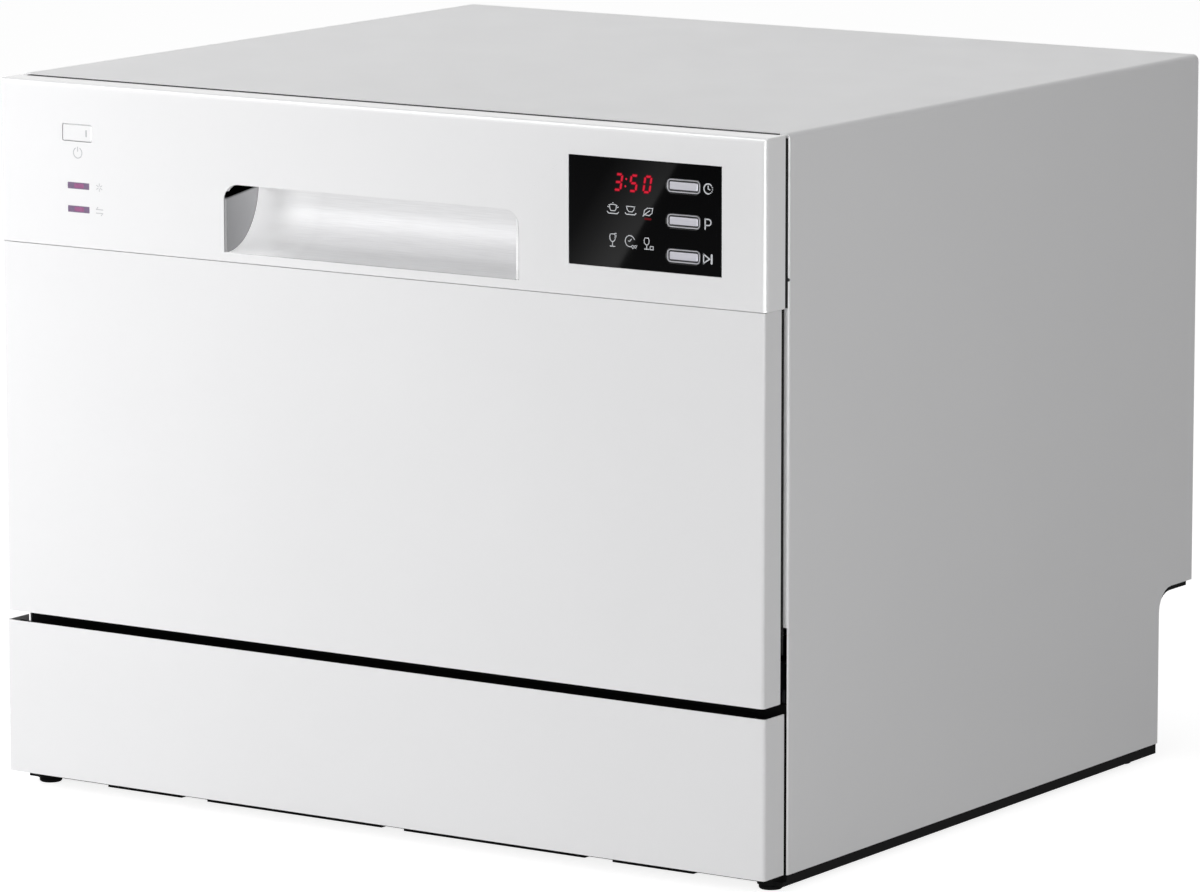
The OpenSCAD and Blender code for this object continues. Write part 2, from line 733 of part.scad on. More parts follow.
module filter_plate() color(steel) {
  difference() {
    rod_z(0, well_y, [plate_z, plate_z + plate_t], sump_r + 2.6);
    rod_z(0, filter_y, [plate_z - cut, plate_z + plate_t + cut], filter_hole_r);
    rod_z(0, hub_y, [plate_z - cut, plate_z + plate_t + cut], hub_r + fit);
    // Drain holes in rows either side of the hub and the filter
    for (x = [-66 : 8 : 66], y = [well_y - 60 : 8 : well_y + 64])
      if (norm([x, y - well_y]) < sump_r - 6 && norm([x, y - filter_y]) > filter_hole_r + 6
          && norm([x, y - hub_y]) > hub_r + 7)
        rod_z(x, y, [plate_z - cut, plate_z + plate_t + cut], 1.8, $fn = 6);
  }
}

module filter_cup() color(plastic) {
  z = plate_z + plate_t + fit;
  wall = 2;
  slots = 8;
  difference() {
    union() {
      rod_z(0, filter_y, [z - filter_h, z + cut], filter_r);
      rod_z(0, filter_y, [z, z + 2.5], filter_r + 4);
    }
    rod_z(0, filter_y, [z - filter_h + wall, z + 4], filter_r - wall);
    for (i = [0 : slots - 1])
      translate([0, filter_y, z - filter_h]) rotate([0, 0, 360 * (i + 0.5) / slots])
        translate([filter_r - 4, -8, 8]) cube([8, 16, filter_h - 16]);
  }
  // Grip lugs either side of the mouth
  both_sides() block([filter_r - wall, filter_r + 2], [filter_y - 8, filter_y + 8], [z + 2, z + 9]);
}

pump_gap = 6;
motor_l = 112;
motor_r = 36;
end_cap_l = 12;
end_cap_r = 26;
volute_t = 16;
volute_r = 43;
stub_r = 14;
stub_up = 30;
pump_x = [-sump_r - pump_gap - motor_l, -sump_r - pump_gap];
pump_z = sump_z - 10;

module circulation_pump() color(zinc) {
  rod_x(pump_x, well_y, pump_z, motor_r);
  rod_x([pump_x[1] - volute_t, pump_x[1] + 1], well_y, pump_z, volute_r);
  rod_x([pump_x[0] - end_cap_l, pump_x[0] + 1], well_y, pump_z, end_cap_r);
  // Stub that joins the volute to the sump bowl
  difference() {
    rod_x([pump_x[1], -0.75 * sump_r], well_y, pump_z + stub_up, stub_r);
    translate([0, well_y, 0]) rotate_extrude() polygon(sump_outer);
  }
}

drain_pump_x = [sump_r + 9, sump_r + 75];
drain_motor_r = 20;

module drain_pump() color(zinc) {
  rod_x(drain_pump_x, well_y, drain_z, drain_motor_r);
  rod_x([drain_pump_x[0], drain_pump_x[0] + 14], well_y, drain_z, drain_motor_r + 5);
  rod_y(drain_x, [well_y + drain_motor_r - 4, well_y + drain_motor_r + 20], drain_z, drain_r - 1.5);
}

module drain_hose() color(rubber) {
  difference() {
    rod_y(drain_x, [well_y + drain_motor_r + 4, recess_y - ceiling_t - 14], drain_z, drain_hose_r + 1);
    rod_y(drain_x, [well_y + drain_motor_r, recess_y], drain_z, drain_r - 1.5 + run);
  }
}

module drain_outlet() color(black) {
  difference() {
    union() {
      rod_y(drain_x, [recess_y - ceiling_t - 30, recess_y + cut], drain_z, drain_r - 1.5);
      rod_y(drain_x, [recess_y, recess_y + 24], drain_z, drain_r);
      rod_y(drain_x, [recess_y - ceiling_t - 5, recess_y - ceiling_t], drain_z, drain_r + 6);
    }
    rod_y(drain_x, [recess_y - ceiling_t - 31, recess_y + 25], drain_z, drain_r - 3.5);
  }
}

heater_wire_r = 4;
heater_z = floor_z + 10;
heater_leg_a = 8;
heater_leg_x = [-heater_r * sin(heater_leg_a), heater_r * sin(heater_leg_a)];
heater_leg_y = hub_y + heater_r * cos(heater_leg_a);

module heater_element() color(zinc) {
  translate([0, hub_y, heater_z]) rotate([0, 0, 90 + heater_leg_a])
    rotate_extrude(angle = 360 - 2 * heater_leg_a) translate([heater_r, 0]) circle(r = heater_wire_r);
  for (x = heater_leg_x) {
    rod_z(x, heater_leg_y, [floor_under - 26, heater_z + heater_wire_r], heater_wire_r);
    rod_z(x, heater_leg_y, [floor_under - 5, floor_under], 9, $fn = 6);
  }
}

module inlet_valve() color(plastic) {
  y0 = recess_y - ceiling_t;
  difference() {
    union() {
      block([inlet_x - 20, inlet_x + 20], [y0 - 44, y0], [inlet_z - 20, inlet_z + 20]);
      rod_z(inlet_x, y0 - 24, [inlet_z + 19, inlet_z + 42], 15);
      rod_y(inlet_x, [y0 - cut, recess_y + 26], inlet_z, inlet_r);
      rod_y(inlet_x, [y0 - 60, y0 - 43], inlet_z, hose_r - 1.5);
    }
    rod_y(inlet_x, [recess_y - 10, recess_y + 27], inlet_z, inlet_r - 4);
  }
}

// Quarter bend of a hose in the plane of its two directions, turned into place by the caller
module bend(r, bore) {
  rotate_extrude(angle = 90) translate([r, 0]) circle(r = bore);
}

bend_r = 18;

module inlet_hose() color(rubber) {
  y0 = recess_y - ceiling_t - 44.3;
  difference() {
    rod_y(inlet_x, [hose_up_y + bend_r, y0], inlet_z, hose_r);
    rod_y(inlet_x, [y0 - 18, y0 + cut], inlet_z, hose_r - 1.5 + run);
  }
  translate([inlet_x - bend_r, hose_up_y + bend_r, inlet_z]) rotate([0, 0, -90]) bend(bend_r, hose_r);
  rod_x([-breather_x + bend_r, inlet_x - bend_r], hose_up_y, inlet_z, hose_r);
  translate([-breather_x + bend_r, hose_up_y, inlet_z + bend_r]) rotate([90, 0, 0]) rotate([0, 0, 180])
    bend(bend_r, hose_r);
  rod_z(-breather_x, hose_up_y, [inlet_z + bend_r, breather_z], hose_r);
}

module air_breather() color(plastic) {
  x = [-in_w + 8, -tub_x - 3];
  y = [hose_up_y - 70, hose_up_y + 75];
  z = [breather_z, breather_z + breather_h];
  difference() {
    along_x(x) plate(y, z, [14, 30, 14, 14]);
    // Moulded water labyrinth on the cabinet side
    for (i = [0 : 2])
      along_x([x[0] - cut, x[0] + 6]) plate([y[0] + 12 + 42 * i, y[0] + 42 + 42 * i], [z[0] + 20, z[1] - 30],
        [6, 6, 6, 6]);
  }
  rod_x([x[1] - cut, -tub_x - sheet_t], hose_up_y, z[1] - 50, 16);
}

module softener_hose() color(rubber) {
  y = hose_up_y + 60;
  z = 100;
  rod_z(-breather_x, y, [z + bend_r, breather_z], hose_r);
  translate([-breather_x + bend_r, y, z + bend_r]) rotate([90, 0, 0]) rotate([0, 0, 180])
    bend(bend_r, hose_r);
  rod_x([-breather_x + bend_r, softener_x[0]], y, z, hose_r);
}

module water_softener() color(plastic) {
  z = [tray_floor, floor_under - 4];
  difference() {
    union() {
      along_z([z[0], z[1]]) plate(softener_x, softener_y, [16, 16, 16, 16]);
      rod_z(salt_x, salt_y, [z[1] - cut, floor_z + 6], salt_r + 2.7);
      rod_z(salt_x, salt_y, [floor_under - 5, floor_under], salt_r + 9);
    }
    rod_z(salt_x, salt_y, [z[0] + 3, floor_z + 7], salt_r);
  }
}

module salt_cap() color(blue) {
  z = floor_z + 6 + fit;
  translate([salt_x, salt_y, 0]) {
    difference() {
      union() {
        rod_z(0, 0, [z, z + 7], salt_r + 7);
        for (a = [0 : 30 : 330])
          rotate([0, 0, a]) translate([salt_r + 6, 0, z]) cylinder(r = 3, h = 7, $fn = 8);
      }
      rod_z(0, 0, [z + 3, z + 8], salt_r - 2);
    }
    // Plug that reaches into the neck, and the grip across the top
    rod_z(0, 0, [z - 12, z + 3], salt_r - run);
    block([-salt_r + 2, salt_r - 2], [-3, 3], [z + 2, z + 10]);
  }
}

module float_switch() color(plastic) {
  c = [half_w - 125, y_cab + 77];
  top = tray_floor + float_h;
  difference() {
    rod_z(c[0], c[1], [tray_floor, top], 14);
    rod_z(c[0], c[1], [tray_floor - cut, top - 4], 12);
  }
  rod_z(c[0], c[1], [top - 5, top + 12], 6);
  block([c[0] - 10, c[0] + 10], [c[1] - 8, c[1] + 8], [top + 11, top + 22]);
}

gland_neck_r = 8;

module cord_gland() color(black) {
  y0 = recess_y - ceiling_t;
  difference() {
    union() {
      rod_y(cord_x, [y0 - 8, recess_y + 10], cord_z, gland_neck_r);
      rod_y(cord_x, [recess_y, recess_y + 10], cord_z, 11);
      rod_y(cord_x, [y0 - 6, y0], cord_z, 12, $fn = 6);
    }
    rod_y(cord_x, [y0 - 9, recess_y + 11], cord_z, cord_r);
  }
}

// Spray arm: two tapered blades on a hub, seen from above
function blade(w0, w1, l) = concat([[0, -w0 / 2]], arc([l - w1 / 2, 0], w1 / 2, -90, 90), [[0, w0 / 2]]);

module spray_arm() color(plastic) {
  z = [arm_z0, arm_z0 + arm_t];
  root_w = 38;
  tip_w = 26;
  translate([0, hub_y, 0]) difference() {
    union() {
      rod_z(0, 0, z, 20);
      for (a = [0, 180]) rotate([0, 0, a]) {
        along_z([z[0] + 1.5, z[1] - 1.5]) polygon(blade(root_w, tip_w, arm_r));
        along_z([z[0], z[1] - 1]) polygon(blade(root_w - 8, tip_w - 8, arm_r - 4));
        along_z([z[0] + 1, z[1]]) polygon(blade(root_w - 12, tip_w - 12, arm_r - 6));
      }
    }
    rod_z(0, 0, [z[0] - cut, z[1] + cut], bearing_r + run);
    for (a = [0, 180], i = [0 : nozzles - 1])
      let (x = 34 + i * (arm_r - 54) / nozzles)
      rotate([0, 0, a]) rod_z(x, i % 2 == 0 ? 5 : -5, [z[1] - 4, z[1] + cut], 1.6, $fn = 8);
  }
}

module handle_opening(gap) {
  plate([-handle_x - gap, handle_x + gap], [handle_z - gap, handle_z1 + gap], [0, handle_r, handle_r, 0]);
}

// A rectangle w by h with rounded corners, centred on c
module key_outline(c, w, h, r) {
  plate([c[0] - w / 2, c[0] + w / 2], [c[1] - h / 2, c[1] + h / 2], [r, r, r, r]);
}

// The opening round a key, through to y1
module key_hole(c, w, h, r, y1) {
  along_y([y_front - cut, y1]) key_outline(c, w + 2 * air, h + 2 * air, r + air);
}

boss_y = y_front + 17.7;

module control_fascia() color(paint) {
  difference() {
    union() {
      difference() {
        intersection() {
          along_x([-fascia_x, fascia_x]) plate([y_front, fascia_y], [fascia_z, fascia_z1],
            [0, 0, fascia_r, 0]);
          along_z([fascia_z, fascia_z1]) plate([-fascia_x, fascia_x], [y_front, fascia_y],
            [fascia_r, 0, 0, fascia_r]);
        }
        block([-fascia_x + fascia_t, fascia_x - fascia_t], [y_front + fascia_t, fascia_y + cut],
          [fascia_z + fascia_t, fascia_z1 - fascia_t]);
      }
      // Posts that carry the boards and the liner's upper screws
      for (x = board_post_x, z = board_post_z) rod_y(x, [y_front + fascia_t - cut, board_y], z, 3);
      for (x = fascia_screw_x) rod_y(x, [y_front + fascia_t - cut, boss_y], liner_screw_z1, 4);
    }
    along_y([y_front - cut, y_front + fascia_t + cut]) handle_opening(fit);
    block([window_x - fit, window_x1 + fit], [y_front - cut, y_front + window_t],
      [window_z - fit, window_z + window_h + fit]);
    block([window_x + 4, window_x1 - 4], [y_front - cut, y_front + fascia_t + cut],
      [window_z + 4, window_z + window_h - 4]);
    key_hole([power_x, power_z], power_w, power_h, power_r, y_front + fascia_t + cut);
    for (z = lens_z) along_y([y_front - cut, y_front + fascia_t + cut]) stadium([lens_x, z], lens_w, lens_h);
    for (x = fascia_screw_x) rod_y(x, [boss_y - 8, boss_y + cut], liner_screw_z1, 1.5);
    // The lower wall stops short of the liner's rim
    block([-rim_x - 3, rim_x + 3], [panel_y - fit, fascia_y + cut],
      [fascia_z - cut, fascia_z + fascia_t + cut]);
  }
}

// The scoop: a quarter ellipse from the lower front edge to the back of the recess
scoop_steps = 40;
function scoop(grow) = [for (i = [0 : scoop_steps])
  let (a = 90 * i / scoop_steps)
  [y_front + (scoop_d + grow) * sin(a), handle_z1 - (handle_h + grow) * cos(a)]];

module handle_cup() color(silver) {
  top = handle_z1 + finger_h;
  inner = concat([[y_front - cut, handle_z]], scoop(0), [[y_front + scoop_d, top], [y_front - cut, top]]);
  outer = concat([[y_front, handle_z - fit]], [[y_front + fascia_t + fit, handle_z - fit]],
    [[y_front + fascia_t + fit, handle_z - cup_t]],
    [for (p = scoop(cup_t)) if (p[0] > y_front + fascia_t + 3) p],
    [[y_front + scoop_d + cup_t, top + cup_t], [y_front + fascia_t + fit, top + cup_t],
     [y_front + fascia_t + fit, handle_z1 - fit], [y_front, handle_z1 - fit]]);
  difference() {
    union() {
      intersection() {
        along_x([-handle_x + fit, handle_x - fit]) polygon(outer);
        along_y([y_front, y_front + fascia_t + 2 * fit]) handle_opening(0);
      }
      intersection() {
        along_x([-handle_x - cup_t, handle_x + cup_t]) polygon(outer);
        block([-half_w, half_w], [y_front + fascia_t + fit, y_front + scoop_d + 2 * cup_t],
          [fascia_z + fascia_t + fit, top + 2 * cup_t]);
      }
    }
    along_x([-handle_x + cup_t, handle_x - cup_t]) polygon(inner);
  }
}

module display_window() color(black) {
  difference() {
    block([window_x, window_x1], [y_front, y_front + window_t], [window_z, window_z + window_h]);
    for (i = [0 : 2]) key_hole([key_x, key_z + i * key_pitch], key_w, key_h, key_r, y_front + window_t + cut);
  }
}

board_post_x = [window_x - 8, window_x1 + 8, power_x - 22, power_x + 22];
board_post_z = [window_z + 6, window_z + window_h - 6];
fascia_screw_x = [-handle_x - 10, handle_x + 10];
liner_screw_z1 = liner_z1 - 4;
screw_z = [door_z + 60, fascia_z - 24];

switch_t = 2;

module control_boards() color(green) {
  x = [[window_x - 14, window_x1 + 14], [power_x - 28, power_x + 28]];
  for (p = x) block(p, [board_y, board_y + board_t], [window_z, window_z + window_h]);
  // Tact switches behind the keys, and the display module
  for (c = [[key_x, key_z], [key_x, key_z + key_pitch], [key_x, key_z + 2 * key_pitch], [power_x, power_z]])
    block([c[0] - 3, c[0] + 3], [board_y - switch_t, board_y + cut / 2], [c[1] - 3, c[1] + 3]);
  block([window_x + 26, window_x + 62], [board_y - 5, board_y + cut / 2], [window_z + 42, window_z + 56]);
}

module indicator_lenses() color([0.55, 0.3, 0.7]) {
  for (z = lens_z) {
    along_y([y_front, board_y - 0.5]) stadium([lens_x, z], lens_w - 2 * fit, lens_h - 2 * fit);
    along_y([y_front + fascia_t, y_front + fascia_t + 1.5]) stadium([lens_x, z], lens_w + 4, lens_h + 3);
  }
}

// A key: its cap in the opening, a stop collar behind and a stem to its switch
module key(c, w, h, r, travel) {
  back = y_front + fascia_t;
  along_y([y_front, back + 1.2]) key_outline(c, w, h, r);
  along_y([back + fit, back + 1.6]) key_outline(c, w + 3, h + 3, r + 1.5);
  rod_y(c[0], [back + 1, board_y - switch_t - air - travel], c[1], 1.8);
}

module programme_key(i) {
  key([key_x, key_z + i * key_pitch], key_w, key_h, key_r, key_travel);
}

module power_button() color(paint) key([power_x, power_z], power_w, power_h, power_r, power_travel);
module start_button() color(silver) programme_key(0);
module program_button() color(silver) programme_key(1);
module delay_button() color(silver) programme_key(2);

module door_lock() color(black) {
  back = panel_y - fit;
  difference() {
    along_y([y_front + fascia_t, back]) plate([-30, 30], [lock_z, fascia_z1 - fascia_t - fit], [3, 3, 3, 3]);
    block([-11, 11], [strike_y - 2, back + cut], [strike_z - 3, strike_z + 2.5]);
  }
  // The spring bolt that the strike's window drops over
  block([-3.5, 3.5], [strike_y + 3.6, strike_y + 6.2], [strike_z - 4, strike_z - 1.4]);
}

panel_z1 = fascia_z - seam;
hinge_notch_x = hinge_arm_x - 6;

module door_panel() color(paint) {
  difference() {
    along_z([door_z, panel_z1]) plate([-panel_x, panel_x], [y_front, panel_y], [fold_r, 0, 0, fold_r]);
    along_z([door_z + sheet_t, panel_z1 - sheet_t]) plate([-panel_x + sheet_t, panel_x - sheet_t],
      [y_front + sheet_t, panel_y - sheet_t], [fold_r - sheet_t, 0, 0, fold_r - sheet_t]);
    block([-panel_x + 23, panel_x - 23], [y_front + sheet_t, panel_y + cut], [door_z + 30, panel_z1 - 8]);
    block([-panel_x + 23, panel_x - 23], [panel_y - 2 * sheet_t, panel_y + cut], [door_z + 6, panel_z1 - 8]);
    both_sides() block([hinge_notch_x, panel_x - sheet_t], [y_front + sheet_t, panel_y + cut],
      [door_z - cut, hinge_z + 22]);
    for (x = panel_screw_x, z = screw_z) rod_y(x, [panel_y - 2, panel_y + 1], z, 1.5);
  }
}

rim_x = liner_x + 1;
panel_screw_x = [-liner_x, liner_x];

module liner_step(x, y, z, r) {
  along_y(y) plate([-x, x], z, [r, r, r, r]);
}

module door_liner() color(steel) {
  low_z = door_z + 2.6;
  difference() {
    union() {
      liner_step(rim_x + 2, [panel_y, panel_y + sheet_t], [low_z, liner_z1], 0);
      liner_step(liner_x - 3, [panel_y + sheet_t / 2, seal_y], [low_z, liner_z1 - 1], 3);
      liner_step(pan_x, [seal_y - sheet_t / 2, pan_y], [pan_z, pan_z1], 12);
    }
    liner_step(liner_x - 3 - sheet_t, [panel_y - cut, seal_y - sheet_t],
      [low_z + sheet_t, liner_z1 - 1 - sheet_t], 2);
    liner_step(pan_x - sheet_t, [panel_y - cut, pan_y - sheet_t], [pan_z + sheet_t, pan_z1 - sheet_t], 11);
    block([disp_x[0] - fit, disp_x[1] + fit], [pan_y - 4, pan_y + cut], [disp_z[0] - fit, disp_z[1] + fit]);
    for (x = panel_screw_x, z = screw_z) rod_y(x, [panel_y - cut, panel_y + 2], z, 1.7);
    for (x = fascia_screw_x) rod_y(x, [seal_y - 2, seal_y + cut], liner_screw_z1, 1.7);
  }
}

module liner_screws() color(silver) {
  for (x = panel_screw_x, z = screw_z) {
    rod_y(x, [panel_y - 1.5, panel_y + sheet_t + 0.1], z, 1.4);
    rod_y(x, [panel_y + sheet_t, panel_y + sheet_t + 1.8], z, 2.7);
  }
}

module dispenser_body() color(plastic) {
  front = [pan_y - disp_d, pan_y];
  difference() {
    union() {
      along_y(front) plate([disp_x[0] + 3, disp_x[1] - 3], [disp_z[0] + 3, disp_z[1] - 3], [6, 6, 6, 6]);
      along_y([pan_y - 3, pan_y + 0.4]) plate(disp_x, disp_z, [8, 8, 8, 8]);
    }
    // Detergent cup and the seat of its flap
    along_y([pan_y - disp_d + 2, pan_y + cut]) plate([flap_x[0] + 5, flap_x[1] - 5],
      [flap_z[0] + 5, flap_z[1] - 5], [8, 8, 8, 8]);
    along_y([pan_y - flap_t - fit, pan_y + cut]) plate([flap_x[0] - 1, flap_x[1] + air], flap_z - [air, -air],
      [2, 2, 0, 0]);
    // Rinse aid tank and its filler
    rod_y(cap_x, [pan_y - disp_d + 2, pan_y + cut], cap_z, cap_r - 6);
    rod_y(cap_x, [pan_y - 6, pan_y + cut], cap_z, cap_r + run);
  }
}

module dispenser_flap() color(silver) {
  pivot_y = pan_y - flap_t / 2;
  along_y([pan_y - flap_t, pan_y]) plate([flap_x[0] + 2, flap_x[1]], flap_z, [3, 3, 0, 0]);
  rod_z(flap_x[0] + 1, pivot_y, flap_z, 1);
  block([flap_x[0] + 1, flap_x[0] + 3], [pan_y - flap_t, pan_y], flap_z);
}

module rinse_aid_cap() color(blue) {
  rod_y(cap_x, [pan_y - 5.8, pan_y + 0.2], cap_z, cap_r);
  block([cap_x - cap_r + 4, cap_x + cap_r - 4], [pan_y - cut, pan_y + 2], [cap_z - 2.5, cap_z + 2.5]);
}

// A flat grid of wires in the outline u by v, with bars at the listed places
module grid(u, v, bars_u, bars_v) {
  difference() {
    polygon(rounded(u, v, [8, 8, 8, 8]));
    polygon(rounded([u[0] + wire, u[1] - wire], [v[0] + wire, v[1] - wire], [5, 5, 5, 5]));
  }
  for (p = bars_u) translate([p - wire / 2, v[0] + wire / 2]) square([wire, v[1] - v[0] - wire]);
  for (p = bars_v) translate([u[0] + wire / 2, p - wire / 2]) square([u[1] - u[0] - wire, wire]);
}

function spread(a, b, n) = [for (i = [1 : n]) a + (b - a) * i / (n + 1)];

cutlery_x = [-rack_x + 8, -rack_x + 8 + cutlery_w];
cutlery_y = [rack_y + 8, rack_y + 8 + cutlery_l];

// Rows of tines at these shares of the rack's depth
tine_y = [for (f = [0.16, 0.303, 0.526, 0.67]) rack_y + f * (rack_y1 - rack_y)];
tine_x = [cutlery_x[1] + 22, rack_x - 30];

module tine_row(y) {
  along_y([y - wire / 2, y + wire / 2]) {
    translate([tine_x[0], rack_z + wire]) square([tine_x[1] - tine_x[0], wire]);
    for (x = [tine_x[0] : tine_pitch : tine_x[1] - wire])
      translate([x, rack_z + wire]) square([wire, tine_h]);
  }
}

module axle_bracket(y) {
  both_sides() {
    along_x([rack_x - wire, rack_x]) polygon(concat([[y - 10, rack_z + wire]],
      arc([y, axle_z], 2 * axle_r, 180, 360), [[y + 10, rack_z + wire]]));
    rod_x([rack_x - wire, roller_x + roller_w + 1.5], y, axle_z, axle_r);
  }
}

module shelf_eyes() {
  both_sides() for (y = [shelf_y - 8, shelf_y + shelf_l + 5])
    difference() {
      block([shelf_axis_x - 5, rack_x - wire / 2], [y, y + 3], [shelf_z - 12, shelf_z + 5]);
      rod_y(shelf_axis_x, [y - cut, y + 3 + cut], shelf_z, shelf_rod_r + run);
    }
}

module dish_basket() color(plastic) {
  y = [rack_y, rack_y1];
  along_z([rack_z, rack_z + wire])
    grid([-rack_x, rack_x], y, spread(-rack_x, rack_x, 9), spread(y[0], y[1], 8));
  both_sides() along_x([rack_x - wire, rack_x])
    grid(y, [rack_z, rack_z + rack_side_h], spread(y[0], y[1], 9), spread(rack_z, rack_z + rack_side_h, 2));
  along_y([y[1] - wire, y[1]])
    grid([-rack_x, rack_x], [rack_z, rack_z + rack_side_h], spread(-rack_x, rack_x, 9),
      spread(rack_z, rack_z + rack_side_h, 2));
  along_y([y[0], y[0] + wire])
    grid([-rack_x, rack_x], [rack_z, rack_z + rack_front_h], spread(-rack_x, rack_x, 9),
      spread(rack_z, rack_z + rack_front_h, 1));
  for (t = tine_y) tine_row(t);
  axle_bracket(front_roller_y);
  axle_bracket(rear_roller_y);
  shelf_eyes();
}

module rollers(y) {
  both_sides() difference() {
    union() {
      rod_x([roller_x, roller_x + roller_w], y, axle_z, roller_r - 1);
      rod_x([roller_x + 2, roller_x + roller_w - 2], y, axle_z, roller_r);
    }
    rod_x([roller_x - cut, roller_x + roller_w + cut], y, axle_z, axle_r + run);
  }
}

module front_rollers() color(plastic) rollers(front_roller_y);
module rear_rollers() color(plastic) rollers(rear_roller_y);

module cutlery_basket() color(plastic) {
  z = [rack_z + wire + 0.1, rack_z + wire + cutlery_h];
  wall = 2;
  slot_w = 6;
  bays = 3;
  // Where the first slot starts and the last may start, across and along
  slots_x = [cutlery_x[0] + 2 * slot_w : slot_w + 5 : cutlery_x[1] - 2 * slot_w - 4];
  slots_y = [cutlery_y[0] + 2 * slot_w : slot_w + 5 : cutlery_y[1] - 2 * slot_w - 4];
  slots_z = [z[0] + 14, z[1] - 16];
  difference() {
    along_z(z) plate(cutlery_x, cutlery_y, [6, 6, 6, 6]);
    for (i = [0 : bays - 1])
      let (len = (cutlery_y[1] - cutlery_y[0] - wall) / bays, a = cutlery_y[0] + wall + i * len)
      block([cutlery_x[0] + wall, cutlery_x[1] - wall], [a, a + len - wall], [z[0] + wall, z[1] + cut]);
    for (y = slots_y) block([cutlery_x[0] - cut, cutlery_x[1] + cut], [y, y + slot_w], slots_z);
    for (x = slots_x) block([x, x + slot_w], [cutlery_y[0] - cut, cutlery_y[1] + cut], slots_z);
    for (x = slots_x, y = slots_y) block([x, x + slot_w], [y, y + slot_w], [z[0] - cut, z[0] + wall + cut]);
  }
}

module cup_shelf(left) color(plastic) {
  x = [shelf_axis_x - shelf_w, shelf_axis_x];
  y = [shelf_y, shelf_y + shelf_l];
  mirrored_x(left) {
    along_z([shelf_z - wire / 2, shelf_z + wire / 2]) grid([x[0], x[1] - 3], y, spread(x[0], x[1] - 3, 3),
      spread(y[0], y[1], 5));
    rod_y(shelf_axis_x, [y[0] - 10, y[1] + 10], shelf_z, shelf_rod_r);
    for (v = [y[0] + shelf_l / 8, y[1] - shelf_l / 8 - wire])
      block([x[1] - 5, x[1]], [v, v + wire], [shelf_z - wire / 2, shelf_z + wire / 2]);
  }
}

module cup_shelf_left() cup_shelf(true);
module cup_shelf_right() cup_shelf(false);

outer_wrapper();
rear_panel();
rear_screws();
base_tray();
plinth_panel();
tub_shell();
tub_floor();
door_gasket();
hinge_bracket_left();
hinge_bracket_right();
hinge_pins();
door_spring_left();
door_spring_right();
lock_strike();
sump_housing();
spray_hub();
filter_plate();
circulation_pump();
drain_pump();
heater_element();
inlet_valve();
inlet_hose();
air_breather();
softener_hose();
water_softener();
drain_outlet();
drain_hose();
float_switch();
cord_gland();
foot_front_left();
foot_front_right();
foot_rear_left();
foot_rear_right();
filter_cup();
salt_cap();
spray_arm();
control_fascia();
handle_cup();
display_window();
control_boards();
indicator_lenses();
door_lock();
door_panel();
door_liner();
liner_screws();
hinge_arm_left();
hinge_arm_right();
dispenser_body();
dispenser_flap();
rinse_aid_cap();
power_button();
delay_button();
program_button();
start_button();
dish_basket();
front_rollers();
rear_rollers();
cutlery_basket();
cup_shelf_left();
cup_shelf_right();
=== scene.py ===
import json
import math

import bpy
from mathutils import Matrix, Vector
from mathutils.geometry import tessellate_polygon

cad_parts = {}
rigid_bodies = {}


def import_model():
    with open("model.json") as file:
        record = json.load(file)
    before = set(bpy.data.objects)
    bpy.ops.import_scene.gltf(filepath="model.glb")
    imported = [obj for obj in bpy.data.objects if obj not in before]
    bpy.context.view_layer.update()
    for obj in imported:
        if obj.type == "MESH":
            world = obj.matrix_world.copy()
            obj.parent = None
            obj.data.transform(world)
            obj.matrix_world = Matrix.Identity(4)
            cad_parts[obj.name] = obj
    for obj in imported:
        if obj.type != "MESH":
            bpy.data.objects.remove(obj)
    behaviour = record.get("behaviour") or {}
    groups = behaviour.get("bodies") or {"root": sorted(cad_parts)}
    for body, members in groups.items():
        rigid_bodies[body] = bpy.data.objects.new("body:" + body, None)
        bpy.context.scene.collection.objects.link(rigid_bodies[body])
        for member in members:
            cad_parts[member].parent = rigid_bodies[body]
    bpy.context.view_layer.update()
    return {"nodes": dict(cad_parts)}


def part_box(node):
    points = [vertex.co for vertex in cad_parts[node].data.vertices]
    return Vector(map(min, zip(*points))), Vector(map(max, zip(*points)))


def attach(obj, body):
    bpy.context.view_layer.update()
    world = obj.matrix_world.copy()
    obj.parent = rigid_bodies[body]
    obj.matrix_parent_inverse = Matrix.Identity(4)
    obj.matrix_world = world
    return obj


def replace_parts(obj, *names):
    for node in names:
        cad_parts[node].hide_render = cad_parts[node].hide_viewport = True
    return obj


MM = 0.001

for leftover in list(bpy.data.objects):
    bpy.data.objects.remove(leftover)

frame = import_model()
NODES = frame["nodes"]


def box_mm(node):
    """Lowest and highest corner of a CAD node, in millimetres."""
    low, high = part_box(node)
    return low / MM, high / MM


# Camera and light

CAMERA_PLACE = (2.3472, -3.5401, 0.9208)
CAMERA_YAW = math.radians(-33.5962)
CAMERA_PITCH = math.radians(-9.6077)
CAMERA_ROLL = math.radians(-0.0451)
CAMERA_LENS = 209.367
SENSOR = 36.0


def add_camera():
    ahead = Vector((math.sin(CAMERA_YAW) * math.cos(CAMERA_PITCH),
                    math.cos(CAMERA_YAW) * math.cos(CAMERA_PITCH),
                    math.sin(CAMERA_PITCH)))
    level = ahead.cross(Vector((0, 0, 1))).normalized()
    up = level.cross(ahead)
    right = level * math.cos(CAMERA_ROLL) + up * math.sin(CAMERA_ROLL)
    top = up * math.cos(CAMERA_ROLL) - level * math.sin(CAMERA_ROLL)
    data = bpy.data.cameras.new("camera")
    data.sensor_fit = "HORIZONTAL"
    data.sensor_width = SENSOR
    data.lens = CAMERA_LENS
    data.clip_end = 100
    camera = bpy.data.objects.new("camera", data)
    bpy.context.scene.collection.objects.link(camera)
    turn = Matrix((right, top, -ahead)).transposed().to_4x4()
    camera.matrix_world = Matrix.Translation(CAMERA_PLACE) @ turn
    bpy.context.scene.camera = camera


